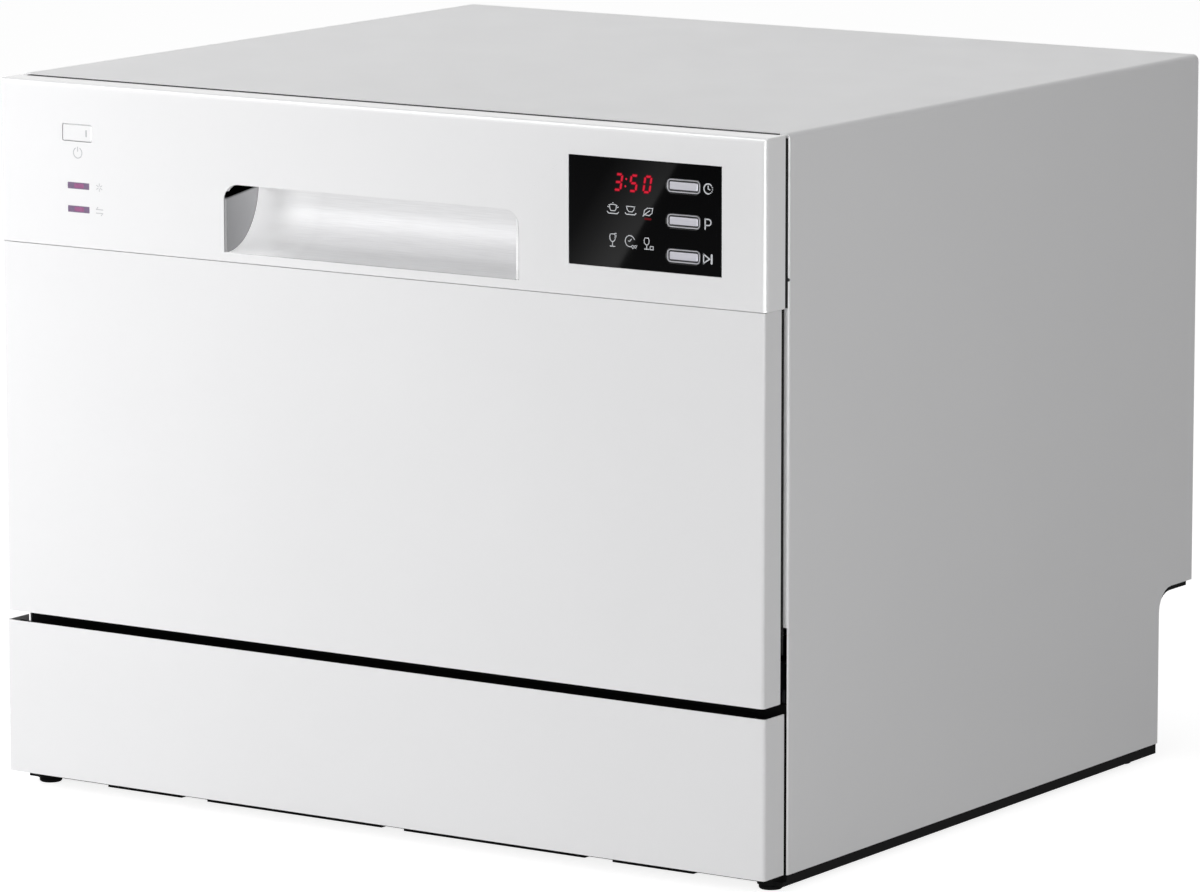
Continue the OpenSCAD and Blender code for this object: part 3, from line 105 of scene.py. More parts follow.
WORLD_LEVEL = 0.27


def add_world():
    """Dim even light on the object, white wherever the camera, metal or glass looks at it."""
    world = bpy.data.worlds.new("studio")
    bpy.context.scene.world = world
    world.use_nodes = True
    tree = world.node_tree
    tree.nodes.clear()
    path = tree.nodes.new("ShaderNodeLightPath")
    seen = tree.nodes.new("ShaderNodeMath")
    seen.operation = "MAXIMUM"
    tree.links.new(path.outputs["Is Camera Ray"], seen.inputs[0])
    tree.links.new(path.outputs["Is Glossy Ray"], seen.inputs[1])
    through = tree.nodes.new("ShaderNodeMath")
    through.operation = "MAXIMUM"
    tree.links.new(seen.outputs[0], through.inputs[0])
    tree.links.new(path.outputs["Is Transmission Ray"], through.inputs[1])
    dim = tree.nodes.new("ShaderNodeBackground")
    dim.inputs["Color"].default_value = (1, 1, 1, 1)
    dim.inputs["Strength"].default_value = WORLD_LEVEL
    white = tree.nodes.new("ShaderNodeBackground")
    white.inputs["Color"].default_value = (1, 1, 1, 1)
    white.inputs["Strength"].default_value = 1
    mix = tree.nodes.new("ShaderNodeMixShader")
    out = tree.nodes.new("ShaderNodeOutputWorld")
    tree.links.new(through.outputs[0], mix.inputs["Fac"])
    tree.links.new(dim.outputs[0], mix.inputs[1])
    tree.links.new(white.outputs[0], mix.inputs[2])
    tree.links.new(mix.outputs[0], out.inputs["Surface"])


def add_lamp(name, place, target, size, watts, diffuse=True, glossy=True):
    data = bpy.data.lights.new(name, "AREA")
    data.shape = "RECTANGLE"
    data.size, data.size_y = size
    data.energy = watts
    lamp = bpy.data.objects.new(name, data)
    bpy.context.scene.collection.objects.link(lamp)
    lamp.location = place
    lamp.rotation_euler = (Vector(target) - Vector(place)).to_track_quat("-Z", "Y").to_euler()
    lamp.visible_camera = False
    lamp.visible_diffuse = diffuse
    lamp.visible_glossy = glossy


LAMP_TARGET = (0, 0, 0.22)
SCOOP_TARGET = (0, -0.25, 0.36)
CORNER_TARGET = (0.26, -0.25, 0.25)


def add_lights():
    """Soft boxes that light the object, and after them the ones that only its glossy surfaces show."""
    add_lamp("key", (-0.95, -1.05, 0.36), LAMP_TARGET, (0.7, 0.9), 8.9, glossy=False)
    add_lamp("front", (0.55, -2.3, 0.45), LAMP_TARGET, (0.9, 1.1), 11)
    add_lamp("top", (-1.2, -0.4, 2.3), LAMP_TARGET, (1.4, 0.8), 15.4)
    add_lamp("side", (1.3, -0.5, 0.5), LAMP_TARGET, (0.5, 0.5), 2, glossy=False)
    add_lamp("corner_light", (1.4, -1.5, 0.3), CORNER_TARGET, (1.2, 0.6), 25, diffuse=False)
    add_lamp("scoop_light", (-1.3, -1.9, 1.45), SCOOP_TARGET, (1.2, 0.8), 4, diffuse=False)


FLOOR_SIZE = 30.0
FLOOR_SHADE = 0.5
FLOOR_GLOW = 0.84


def add_floor():
    """A white floor that keeps a soft shadow of the object."""
    mesh = bpy.data.meshes.new("floor")
    half = FLOOR_SIZE / 2
    mesh.from_pydata([(-half, -half, 0), (half, -half, 0), (half, half, 0), (-half, half, 0)], [], [(0, 1, 2, 3)])
    floor = bpy.data.objects.new("floor", mesh)
    bpy.context.scene.collection.objects.link(floor)
    material = bpy.data.materials.new("floor")
    material.use_nodes = True
    tree = material.node_tree
    tree.nodes.clear()
    path = tree.nodes.new("ShaderNodeLightPath")
    seen = tree.nodes.new("ShaderNodeMath")
    seen.operation = "MAXIMUM"
    tree.links.new(path.outputs["Is Camera Ray"], seen.inputs[0])
    tree.links.new(path.outputs["Is Glossy Ray"], seen.inputs[1])
    lit = tree.nodes.new("ShaderNodeBsdfDiffuse")
    lit.inputs["Color"].default_value = (FLOOR_SHADE, FLOOR_SHADE, FLOOR_SHADE, 1)
    glow = tree.nodes.new("ShaderNodeEmission")
    glow.inputs["Strength"].default_value = FLOOR_GLOW
    both = tree.nodes.new("ShaderNodeAddShader")
    mix = tree.nodes.new("ShaderNodeMixShader")
    out = tree.nodes.new("ShaderNodeOutputMaterial")
    tree.links.new(lit.outputs[0], both.inputs[0])
    tree.links.new(glow.outputs[0], both.inputs[1])
    tree.links.new(seen.outputs[0], mix.inputs["Fac"])
    tree.links.new(lit.outputs[0], mix.inputs[1])
    tree.links.new(both.outputs[0], mix.inputs[2])
    tree.links.new(mix.outputs[0], out.inputs["Surface"])
    mesh.materials.append(material)


CARD_Y = -1.0
CARD_MARGIN = 0.12
CARD_FOOT = 0.325
CARD_LEAN = 0.385


def add_reflection_card():
    """What the window reflects: a soft light that ends at a slanting edge, with darkness to its right."""
    low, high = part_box("display_window")
    mirrored = Vector((CAMERA_PLACE[0], 2 * low.y - CAMERA_PLACE[1], CAMERA_PLACE[2]))

    def seen(across, up):
        """Where the camera sees a point of the window reflected, on the card's plane."""
        place = Vector((low.x + (high.x - low.x) * across, low.y, low.z + (high.z - low.z) * up))
        reach = (CARD_Y - mirrored.y) / (place.y - mirrored.y)
        return mirrored + (place - mirrored) * reach

    rim = (-CARD_MARGIN, 1 + CARD_MARGIN)
    mesh = bpy.data.meshes.new("card")
    mesh.from_pydata([seen(rim[0], rim[0]), seen(rim[1], rim[0]), seen(rim[1], rim[1]), seen(rim[0], rim[1])],
                     [], [(0, 1, 2, 3)])
    card = bpy.data.objects.new("card", mesh)
    bpy.context.scene.collection.objects.link(card)
    origin, far = seen(0, 0), seen(1, 1)
    span = far - origin
    material = bpy.data.materials.new("card")
    material.use_nodes = True
    tree = material.node_tree
    tree.nodes.clear()
    where = tree.nodes.new("ShaderNodeTexCoord")
    left_of_edge = tree.nodes.new("ShaderNodeVectorMath")
    left_of_edge.operation = "DOT_PRODUCT"
    left_of_edge.inputs[1].default_value = (-1 / span.x, 0, CARD_LEAN / span.z)
    shift = tree.nodes.new("ShaderNodeMath")
    shift.operation = "ADD"
    shift.inputs[1].default_value = 0.5 + CARD_FOOT + origin.x / span.x - CARD_LEAN * origin.z / span.z
    ramp = tree.nodes.new("ShaderNodeValToRGB")
    steps = ((0.496, 0.10), (0.504, 1.0), (0.62, 0.82), (0.78, 0.42), (0.92, 0.16))
    while len(ramp.color_ramp.elements) < len(steps):
        ramp.color_ramp.elements.new(0.5)
    for element, (position, level) in zip(ramp.color_ramp.elements, steps):
        element.position = position
        element.color = (level, level, level, 1)
    height = tree.nodes.new("ShaderNodeSeparateXYZ")
    fade = tree.nodes.new("ShaderNodeMapRange")
    fade.inputs["From Min"].default_value = origin.z
    fade.inputs["From Max"].default_value = far.z
    fade.inputs["To Min"].default_value = 1.25
    fade.inputs["To Max"].default_value = 0.6
    glow = tree.nodes.new("ShaderNodeEmission")
    out = tree.nodes.new("ShaderNodeOutputMaterial")
    tree.links.new(where.outputs["Object"], height.inputs[0])
    tree.links.new(height.outputs["Z"], fade.inputs["Value"])
    tree.links.new(fade.outputs["Result"], glow.inputs["Strength"])
    tree.links.new(where.outputs["Object"], left_of_edge.inputs[0])
    tree.links.new(left_of_edge.outputs["Value"], shift.inputs[0])
    tree.links.new(shift.outputs[0], ramp.inputs["Fac"])
    tree.links.new(ramp.outputs["Color"], glow.inputs["Color"])
    tree.links.new(glow.outputs[0], out.inputs["Surface"])
    mesh.materials.append(material)
    for ray in ("camera", "diffuse", "transmission", "shadow", "volume_scatter"):
        setattr(card, "visible_" + ray, False)


# Materials

def srgb(red, green, blue):
    """A colour as it looks on screen, 0 to 255, as linear light."""
    def linear(value):
        share = value / 255
        return share / 12.92 if share <= 0.04045 else ((share + 0.055) / 1.055) ** 2.4
    return (linear(red), linear(green), linear(blue), 1)


class Finish:
    """A material under construction: a shader and the texture nodes that feed it."""

    def __init__(self, name, colour, roughness, metallic=0.0, specular=0.5):
        self.material = bpy.data.materials.new(name)
        self.material.use_nodes = True
        self.tree = self.material.node_tree
        self.shader = self.tree.nodes["Principled BSDF"]
        self.colour = colour
        self.roughness = roughness
        self.shader.inputs["Base Color"].default_value = colour
        self.shader.inputs["Roughness"].default_value = roughness
        self.shader.inputs["Metallic"].default_value = metallic
        self.shader.inputs["Specular IOR Level"].default_value = specular
        self.height = None

    def place(self, stretch=(1, 1, 1)):
        """Object coordinates in metres, stretched per axis."""
        where = self.tree.nodes.new("ShaderNodeTexCoord")
        mapping = self.tree.nodes.new("ShaderNodeMapping")
        mapping.inputs["Scale"].default_value = stretch
        self.tree.links.new(where.outputs["Object"], mapping.inputs["Vector"])
        return mapping.outputs["Vector"]

    def noise(self, scale, stretch=(1, 1, 1), detail=3.0):
        node = self.tree.nodes.new("ShaderNodeTexNoise")
        node.inputs["Scale"].default_value = scale
        node.inputs["Detail"].default_value = detail
        self.tree.links.new(self.place(stretch), node.inputs["Vector"])
        return node.outputs["Fac"]

    def cells(self, scale, output="Color"):
        node = self.tree.nodes.new("ShaderNodeTexVoronoi")
        node.inputs["Scale"].default_value = scale
        self.tree.links.new(self.place(), node.inputs["Vector"])
        return node.outputs[output]

    def spread(self, value, low, high):
        """Maps a texture's middle range onto low to high."""
        node = self.tree.nodes.new("ShaderNodeMapRange")
        node.inputs["From Min"].default_value = 0.3
        node.inputs["From Max"].default_value = 0.7
        node.inputs["To Min"].default_value = low
        node.inputs["To Max"].default_value = high
        self.tree.links.new(value, node.inputs["Value"])
        return node.outputs["Result"]

    def vary_colour(self, value, depth):
        """Darkens the colour by up to depth where the texture is low."""
        ramp = self.tree.nodes.new("ShaderNodeValToRGB")
        dark = tuple(c * (1 - depth) for c in self.colour[:3]) + (1,)
        ramp.color_ramp.elements[0].position = 0.3
        ramp.color_ramp.elements[0].color = dark
        ramp.color_ramp.elements[1].position = 0.7
        ramp.color_ramp.elements[1].color = self.colour
        self.tree.links.new(value, ramp.inputs["Fac"])
        self.tree.links.new(ramp.outputs["Color"], self.shader.inputs["Base Color"])

    def vary_roughness(self, value, depth):
        spread = self.spread(value, self.roughness - depth, self.roughness + depth)
        self.tree.links.new(spread, self.shader.inputs["Roughness"])

    def bump(self, value, height_mm, strength=1.0):
        node = self.tree.nodes.new("ShaderNodeBump")
        node.inputs["Strength"].default_value = strength
        node.inputs["Distance"].default_value = height_mm * MM
        self.tree.links.new(value, node.inputs["Height"])
        if self.height is not None:
            self.tree.links.new(self.height, node.inputs["Normal"])
        self.height = node.outputs["Normal"]
        self.tree.links.new(self.height, self.shader.inputs["Normal"])


def painted_steel(name, colour):
    """Powder coat: a fine orange peel and slow changes of gloss."""
    finish = Finish(name, colour, 0.34)
    finish.vary_colour(finish.noise(5), 0.02)
    finish.vary_roughness(finish.noise(40), 0.04)
    finish.bump(finish.noise(700, detail=2), 0.02, 0.35)
    return finish.material


def moulded_plastic(name, colour, roughness=0.42, grain=1400.0, depth=0.03):
    """Moulded plastic with a spark-eroded grain and faint flow marks."""
    finish = Finish(name, colour, roughness)
    finish.vary_colour(finish.noise(14), 0.05)
    finish.vary_roughness(finish.noise(90), 0.06)
    finish.bump(finish.noise(grain, detail=4), depth, 0.6)
    return finish.material


def matt_black(name):
    finish = Finish(name, srgb(7, 7, 8), 0.8, specular=0.08)
    finish.vary_colour(finish.noise(80), 0.2)
    finish.bump(finish.noise(1600, detail=3), 0.02, 0.5)
    return finish.material


def satin_plastic(name, colour):
    """The fascia's even white plastic, with a very fine grain."""
    finish = Finish(name, colour, 0.34)
    finish.vary_colour(finish.noise(6), 0.015)
    finish.vary_roughness(finish.noise(60), 0.03)
    finish.bump(finish.noise(1500, detail=2), 0.006, 0.3)
    finish.shader.inputs["Coat Weight"].default_value = 1
    finish.shader.inputs["Coat Roughness"].default_value = 0.12
    return finish.material


def brushed_finish(name, colour, along, roughness, metallic):
    """Brushed sheet: fine scratches along the named axes."""
    stretch = tuple(0.02 if axis in along else 1.0 for axis in "xyz")
    finish = Finish(name, colour, roughness, metallic=metallic)
    scratches = finish.noise(2600, stretch, 6)
    finish.vary_colour(scratches, 0.10)
    finish.vary_roughness(finish.noise(900, stretch, 4), 0.08)
    finish.bump(scratches, 0.006, 0.35)
    return finish


def brushed_metal(name, colour, along, roughness=0.28, metallic=1.0):
    return brushed_finish(name, colour, along, roughness, metallic).material


def brushed_scoop_with_painted_light(name, colour, painted_end_shade_colour, finger_z, half_x, rim_y):
    """The handle scoop: brushed along its length, with painted shade on its left end wall and left rim, a painted black
    shadow at the top of that end wall, painted shading bands up its height and a faint painted glow that grows towards
    its left end.
    """
    metallic = 0.5
    finish = brushed_finish(name, colour, "x", 0.36, metallic)
    tree = finish.tree

    def math_node(operation, value, second):
        node = tree.nodes.new("ShaderNodeMath")
        node.operation = operation
        tree.links.new(value, node.inputs[0])
        if second is not None:
            node.inputs[1].default_value = second
        return node.outputs[0]

    def multiply(value, other):
        product = math_node("MULTIPLY", value, None)
        tree.links.new(other, product.node.inputs[1])
        return product

    def ramp(value, start, end, first, last):
        node = tree.nodes.new("ShaderNodeMapRange")
        for socket, number in (("From Min", start), ("From Max", end), ("To Min", first), ("To Max", last)):
            node.inputs[socket].default_value = number
        tree.links.new(value, node.inputs["Value"])
        return node.outputs["Result"]

    def blend(share, a, b):
        node = tree.nodes.new("ShaderNodeMix")
        node.data_type = "RGBA"
        tree.links.new(share, node.inputs["Factor"])
        for socket, value in (("A", a), ("B", b)):
            if isinstance(value, tuple):
                node.inputs[socket].default_value = value
            else:
                tree.links.new(value, node.inputs[socket])
        return node.outputs["Result"]

    facing = tree.nodes.new("ShaderNodeSeparateXYZ")
    shape = tree.nodes.new("ShaderNodeNewGeometry")
    tree.links.new(shape.outputs["Normal"], facing.inputs[0])
    place = tree.nodes.new("ShaderNodeSeparateXYZ")
    tree.links.new(finish.place(), place.inputs[0])
    # Painted shade: the left end wall and the front of the left rim get the flat grey end colour and no metal, as if in
    # shade
    at_left = math_node("LESS_THAN", place.outputs["X"], 0.0)
    painted_end_mask = multiply(math_node("GREATER_THAN", math_node("ABSOLUTE", facing.outputs["X"], None), 0.1), at_left)
    at_rim = math_node("LESS_THAN", place.outputs["Y"], (rim_y + 1.2) * MM)
    facing_out = math_node("LESS_THAN", facing.outputs["Y"], -0.5)
    rim = multiply(multiply(at_rim, facing_out), at_left)
    shaded = math_node("MAXIMUM", painted_end_mask, None)
    tree.links.new(rim, shaded.node.inputs[1])
    # Painted shadow: on those shaded faces the colour turns black above a line sloping under the finger space; darkness
    # is 1 below that line and 0 above it
    sloped = math_node("ADD", place.outputs["Z"], None)
    tree.links.new(math_node("MULTIPLY", place.outputs["Y"], -0.125), sloped.node.inputs[1])
    shade_z = finger_z - 0.125 * rim_y
    darkness = ramp(sloped, (shade_z - 9.2) * MM, (shade_z - 7.8) * MM, 1, 0)
    # No specular reflection in that painted black shadow
    gloss = math_node("MAXIMUM", ramp(shaded, 0, 1, 0.5, 0), None)
    tree.links.new(math_node("MULTIPLY", darkness, 0.5), gloss.node.inputs[1])
    tree.links.new(gloss, finish.shader.inputs["Specular IOR Level"])
    # Painted shading bands: low and high darken the brushed colour near the foot and towards the top of the scoop
    low = ramp(place.outputs["Z"], (finger_z - 36) * MM, (finger_z - 33) * MM, 0.91, 1)
    high = ramp(place.outputs["Z"], (finger_z - 20) * MM, (finger_z - 12) * MM, 1, 0.88)
    painted_band_colour = blend(multiply(low, high), (0, 0, 0, 1), finish.shader.inputs["Base Color"].links[0].from_socket)
    base = finish.shader.inputs["Base Color"]
    end = blend(darkness, (0, 0, 0, 1), painted_end_shade_colour)
    tree.links.new(blend(shaded, painted_band_colour, end), base)
    tree.links.new(ramp(shaded, 0, 1, metallic, 0), finish.shader.inputs["Metallic"])
    # Painted light: the scoop glows faintly all over and more towards its left end, filling the shade cast by its left
    # end wall; the shaded faces do not glow
    corner = ramp(place.outputs["X"], (52 - half_x) * MM, (10 - half_x) * MM, 0.05, 0.36)
    tree.links.new(blend(shaded, corner, (0, 0, 0, 1)), finish.shader.inputs["Emission Color"])
    finish.shader.inputs["Emission Strength"].default_value = 1
    return finish.material


def galvanised_steel(name, colour):
    """Zinc coat: spangles of differing gloss with a light haze."""
    finish = Finish(name, colour, 0.42, metallic=1.0)
    spangle = finish.cells(160)
    finish.vary_colour(spangle, 0.28)
    finish.vary_roughness(spangle, 0.12)
    finish.bump(finish.noise(260), 0.02, 0.3)
    return finish.material


def turned_steel(name, colour, roughness=0.22):
    finish = Finish(name, colour, roughness, metallic=1.0)
    finish.vary_colour(finish.noise(300), 0.08)
    finish.vary_roughness(finish.noise(1200), 0.06)
    finish.bump(finish.noise(1800), 0.005, 0.3)
    return finish.material


def soft_rubber(name, colour):
    finish = Finish(name, colour, 0.68)
    finish.vary_colour(finish.noise(60), 0.15)
    finish.vary_roughness(finish.noise(200), 0.08)
    finish.bump(finish.noise(2200), 0.03, 0.6)
    return finish.material


def smoked_glass(name):
    """The display window: black, with almost no diffuse light and a weak clear reflection."""
    finish = Finish(name, srgb(5, 5, 6), 0.03, specular=0.3)
    finish.vary_roughness(finish.noise(25), 0.01)
    finish.bump(finish.noise(30, detail=1), 0.002, 0.1)
    return finish.material


def printed_ink(name, colour):
    finish = Finish(name, colour, 0.5)
    finish.vary_colour(finish.noise(1500), 0.12)
    finish.bump(finish.noise(3000), 0.004, 0.5)
    return finish.material


def lit_segments(name, colour, glow, strength, specular=0.5):
    """A light-emitting segment, brighter in its middle grain."""
    finish = Finish(name, colour, 0.4, specular=specular)
    finish.vary_colour(finish.noise(500), 0.2)
    finish.shader.inputs["Emission Color"].default_value = glow
    finish.shader.inputs["Emission Strength"].default_value = strength
    return finish.material


def circuit_board(name):
    """Green solder mask over copper tracks."""
    finish = Finish(name, srgb(24, 92, 58), 0.35)
    bricks = finish.tree.nodes.new("ShaderNodeTexBrick")
    bricks.inputs["Scale"].default_value = 90
    bricks.inputs["Mortar Size"].default_value = 0.03
    bricks.inputs["Color1"].default_value = srgb(22, 88, 54)
    bricks.inputs["Color2"].default_value = srgb(28, 100, 62)
    bricks.inputs["Mortar"].default_value = srgb(60, 130, 80)
    turned = finish.tree.nodes.new("ShaderNodeMapping")
    turned.inputs["Rotation"].default_value = (math.radians(90), 0, 0)
    where = finish.tree.nodes.new("ShaderNodeTexCoord")
    finish.tree.links.new(where.outputs["Object"], turned.inputs["Vector"])
    finish.tree.links.new(turned.outputs["Vector"], bricks.inputs["Vector"])
    finish.tree.links.new(bricks.outputs["Color"], finish.shader.inputs["Base Color"])
    finish.bump(bricks.outputs["Fac"], 0.03, 0.5)
    return finish.material


WHITE = srgb(243, 243, 244)
# From the top of the handle's opening to the top of the scoop's solid, in millimetres
CUP_CEILING = 16
MATERIALS = {
    "paint": painted_steel("paint", WHITE),
    "white": satin_plastic("white", WHITE),
    "black": moulded_plastic("black", srgb(16, 16, 18), 0.5),
    "tub_steel": brushed_metal("tub_steel", srgb(196, 198, 200), "x"),
    "matt_black": matt_black("matt_black"),
    "liner_steel": brushed_metal("liner_steel", srgb(204, 205, 207), "x", 0.24),
    "mesh_steel": brushed_metal("mesh_steel", srgb(190, 192, 195), "y", 0.34),
    # The scoop's second colour is the painted shade of its left end wall and rim
    "scoop": brushed_scoop_with_painted_light("scoop", srgb(242, 242, 243), srgb(152, 152, 154), box_mm("handle_cup")[1].z - CUP_CEILING,
                           box_mm("handle_cup")[1].x, box_mm("handle_cup")[0].y),
    "zinc": galvanised_steel("zinc", srgb(176, 180, 186)),
    "bright": turned_steel("bright", srgb(205, 207, 210)),
    "dark_steel": turned_steel("dark_steel", srgb(120, 122, 126), 0.35),
    # Near black steel for the hinges: painted shade in the gap beside the door
    "painted_shade_steel": turned_steel("painted_shade_steel", srgb(46, 47, 50), 0.5),
    "rubber": soft_rubber("rubber", srgb(40, 41, 44)),
    # Near black for the strips that paint shade into the gap beside the door
    "shade_black": soft_rubber("shade_black", srgb(14, 14, 15)),
    "grey": moulded_plastic("grey", srgb(150, 153, 158)),
    "pale": moulded_plastic("pale", srgb(206, 208, 212)),
    "blue": moulded_plastic("blue", srgb(70, 104, 168), 0.36),
    "nylon": moulded_plastic("nylon", srgb(190, 194, 199), 0.36, 900, 0.02),
    "board": circuit_board("board"),
    "glass": smoked_glass("glass"),
    "ink": printed_ink("ink", srgb(216, 218, 222)),
    "pale_ink": printed_ink("pale_ink", srgb(196, 197, 200)),
    "key_rim": moulded_plastic("key_rim", srgb(192, 192, 197), 0.34, 900, 0.004),
    "key_bar": brushed_metal("key_bar", srgb(200, 199, 207), "x", 0.4, 0.25),
    "red": lit_segments("red", srgb(70, 6, 14), srgb(232, 36, 62), 0.76, 0.06),
    "red_halo": lit_segments("red_halo", srgb(50, 4, 10), srgb(150, 14, 34), 0.34, 0.06),
    "red_dim": lit_segments("red_dim", srgb(50, 6, 9), srgb(130, 16, 26), 0.36, 0.06),
    "violet": lit_segments("violet", srgb(120, 98, 130), srgb(100, 70, 110), 0.06),
    "magenta": lit_segments("magenta", srgb(152, 86, 133), srgb(130, 56, 110), 0.07),
}


# The CAD nodes: material and edge rounding in millimetres

ROUND_LIMIT = math.radians(38)
SMOOTH_LIMIT = math.radians(32)
DRESS = {
    "outer_wrapper": ("paint", 0.3),
    "rear_panel": ("zinc", 0.3),
    "rear_screws": ("bright", 0.3),
    "base_tray": ("matt_black", 0.4),
    "plinth_panel": ("paint", 0.45),
    "tub_shell": ("tub_steel", 0.0),
    "tub_floor": ("grey", 0.8),
    "door_gasket": ("rubber", 0.8),
    # The hinge brackets are near black as painted shade of the gap beside the door
    "hinge_bracket_left": ("painted_shade_steel", 0.4),
    "hinge_bracket_right": ("painted_shade_steel", 0.4),
    "hinge_pins": ("bright", 0.3),
    "lock_strike": ("bright", 0.3),
    "sump_housing": ("grey", 0.8),
    "spray_hub": ("pale", 0.5),
    "filter_plate": ("mesh_steel", 0.0),
    "circulation_pump": ("zinc", 0.8),
    "drain_pump": ("zinc", 0.6),
    "heater_element": ("dark_steel", 0.0),
    "inlet_hose": ("rubber", 0.0),
    "air_breather": ("pale", 0.8),
    "softener_hose": ("rubber", 0.0),
    "water_softener": ("pale", 0.8),
    "drain_outlet": ("black", 0.3),
    "drain_hose": ("rubber", 0.3),
    "float_switch": ("pale", 0.5),
    "cord_gland": ("black", 0.4),
    "foot_front_left": ("matt_black", 0.3),
    "foot_front_right": ("matt_black", 0.3),
    "foot_rear_left": ("matt_black", 0.3),
    "foot_rear_right": ("matt_black", 0.3),
    "filter_cup": ("grey", 0.3),
    "salt_cap": ("blue", 0.6),
    "control_fascia": ("white", 0.5),
    "handle_cup": ("scoop", 0.3),
    "control_boards": ("board", 0.2),
    "door_lock": ("black", 0.3),
    "door_panel": ("paint", 0.45),
    "door_liner": ("liner_steel", 0.8),
    "liner_screws": ("bright", 0.3),
    # The hinge arms are near black as painted shade of the gap beside the door
    "hinge_arm_left": ("painted_shade_steel", 0.4),
    "hinge_arm_right": ("painted_shade_steel", 0.4),
    "dispenser_body": ("pale", 0.6),
    "dispenser_flap": ("grey", 0.4),
    "rinse_aid_cap": ("blue", 0.5),
    "front_rollers": ("pale", 0.5),
    "rear_rollers": ("pale", 0.5),
    "cutlery_basket": ("grey", 0.4),
    "door_spring_left": ("bright", 0.0),
    "door_spring_right": ("bright", 0.0),
}


def shade_by_area(piece):
    """Keeps a flat face flat beside its rounded edges."""
    normals = piece.modifiers.new("normals", "WEIGHTED_NORMAL")
    normals.mode = "FACE_AREA"
    normals.weight = 100
    normals.keep_sharp = True


# Faces with so many openings that joining their triangles would spoil them
KEPT_TRIANGLES = ("control_fascia", "cutlery_basket")


def round_edges(piece, width_mm):
    """Joins the piece's faces, rounds its edges a little and shades its curves smoothly."""
    for polygon in piece.data.polygons:
        polygon.use_smooth = True
    if "custom_normal" in piece.data.attributes:
        piece.data.attributes.remove(piece.data.attributes["custom_normal"])
    weld = piece.modifiers.new("weld", "WELD")
    weld.merge_threshold = 0.002 * MM
    if width_mm > 0 and piece.name not in KEPT_TRIANGLES:
        dissolve = piece.modifiers.new("dissolve", "DECIMATE")
        dissolve.decimate_type = "DISSOLVE"
        dissolve.angle_limit = math.radians(0.4)
    if width_mm > 0:
        bevel = piece.modifiers.new("bevel", "BEVEL")
        bevel.limit_method = "ANGLE"
        bevel.angle_limit = ROUND_LIMIT
        bevel.width = width_mm * MM
        bevel.segments = 2
        bevel.use_clamp_overlap = True
        bevel.miter_outer = "MITER_ARC"
    split = piece.modifiers.new("split", "EDGE_SPLIT")
    split.split_angle = SMOOTH_LIMIT
    split.use_edge_sharp = False
    shade_by_area(piece)


def dress_nodes():
    for node, (material, width) in DRESS.items():
        piece = NODES[node]
        piece.data.materials.clear()
        piece.data.materials.append(MATERIALS[material])
        round_edges(piece, width)


# Building pieces in millimetres

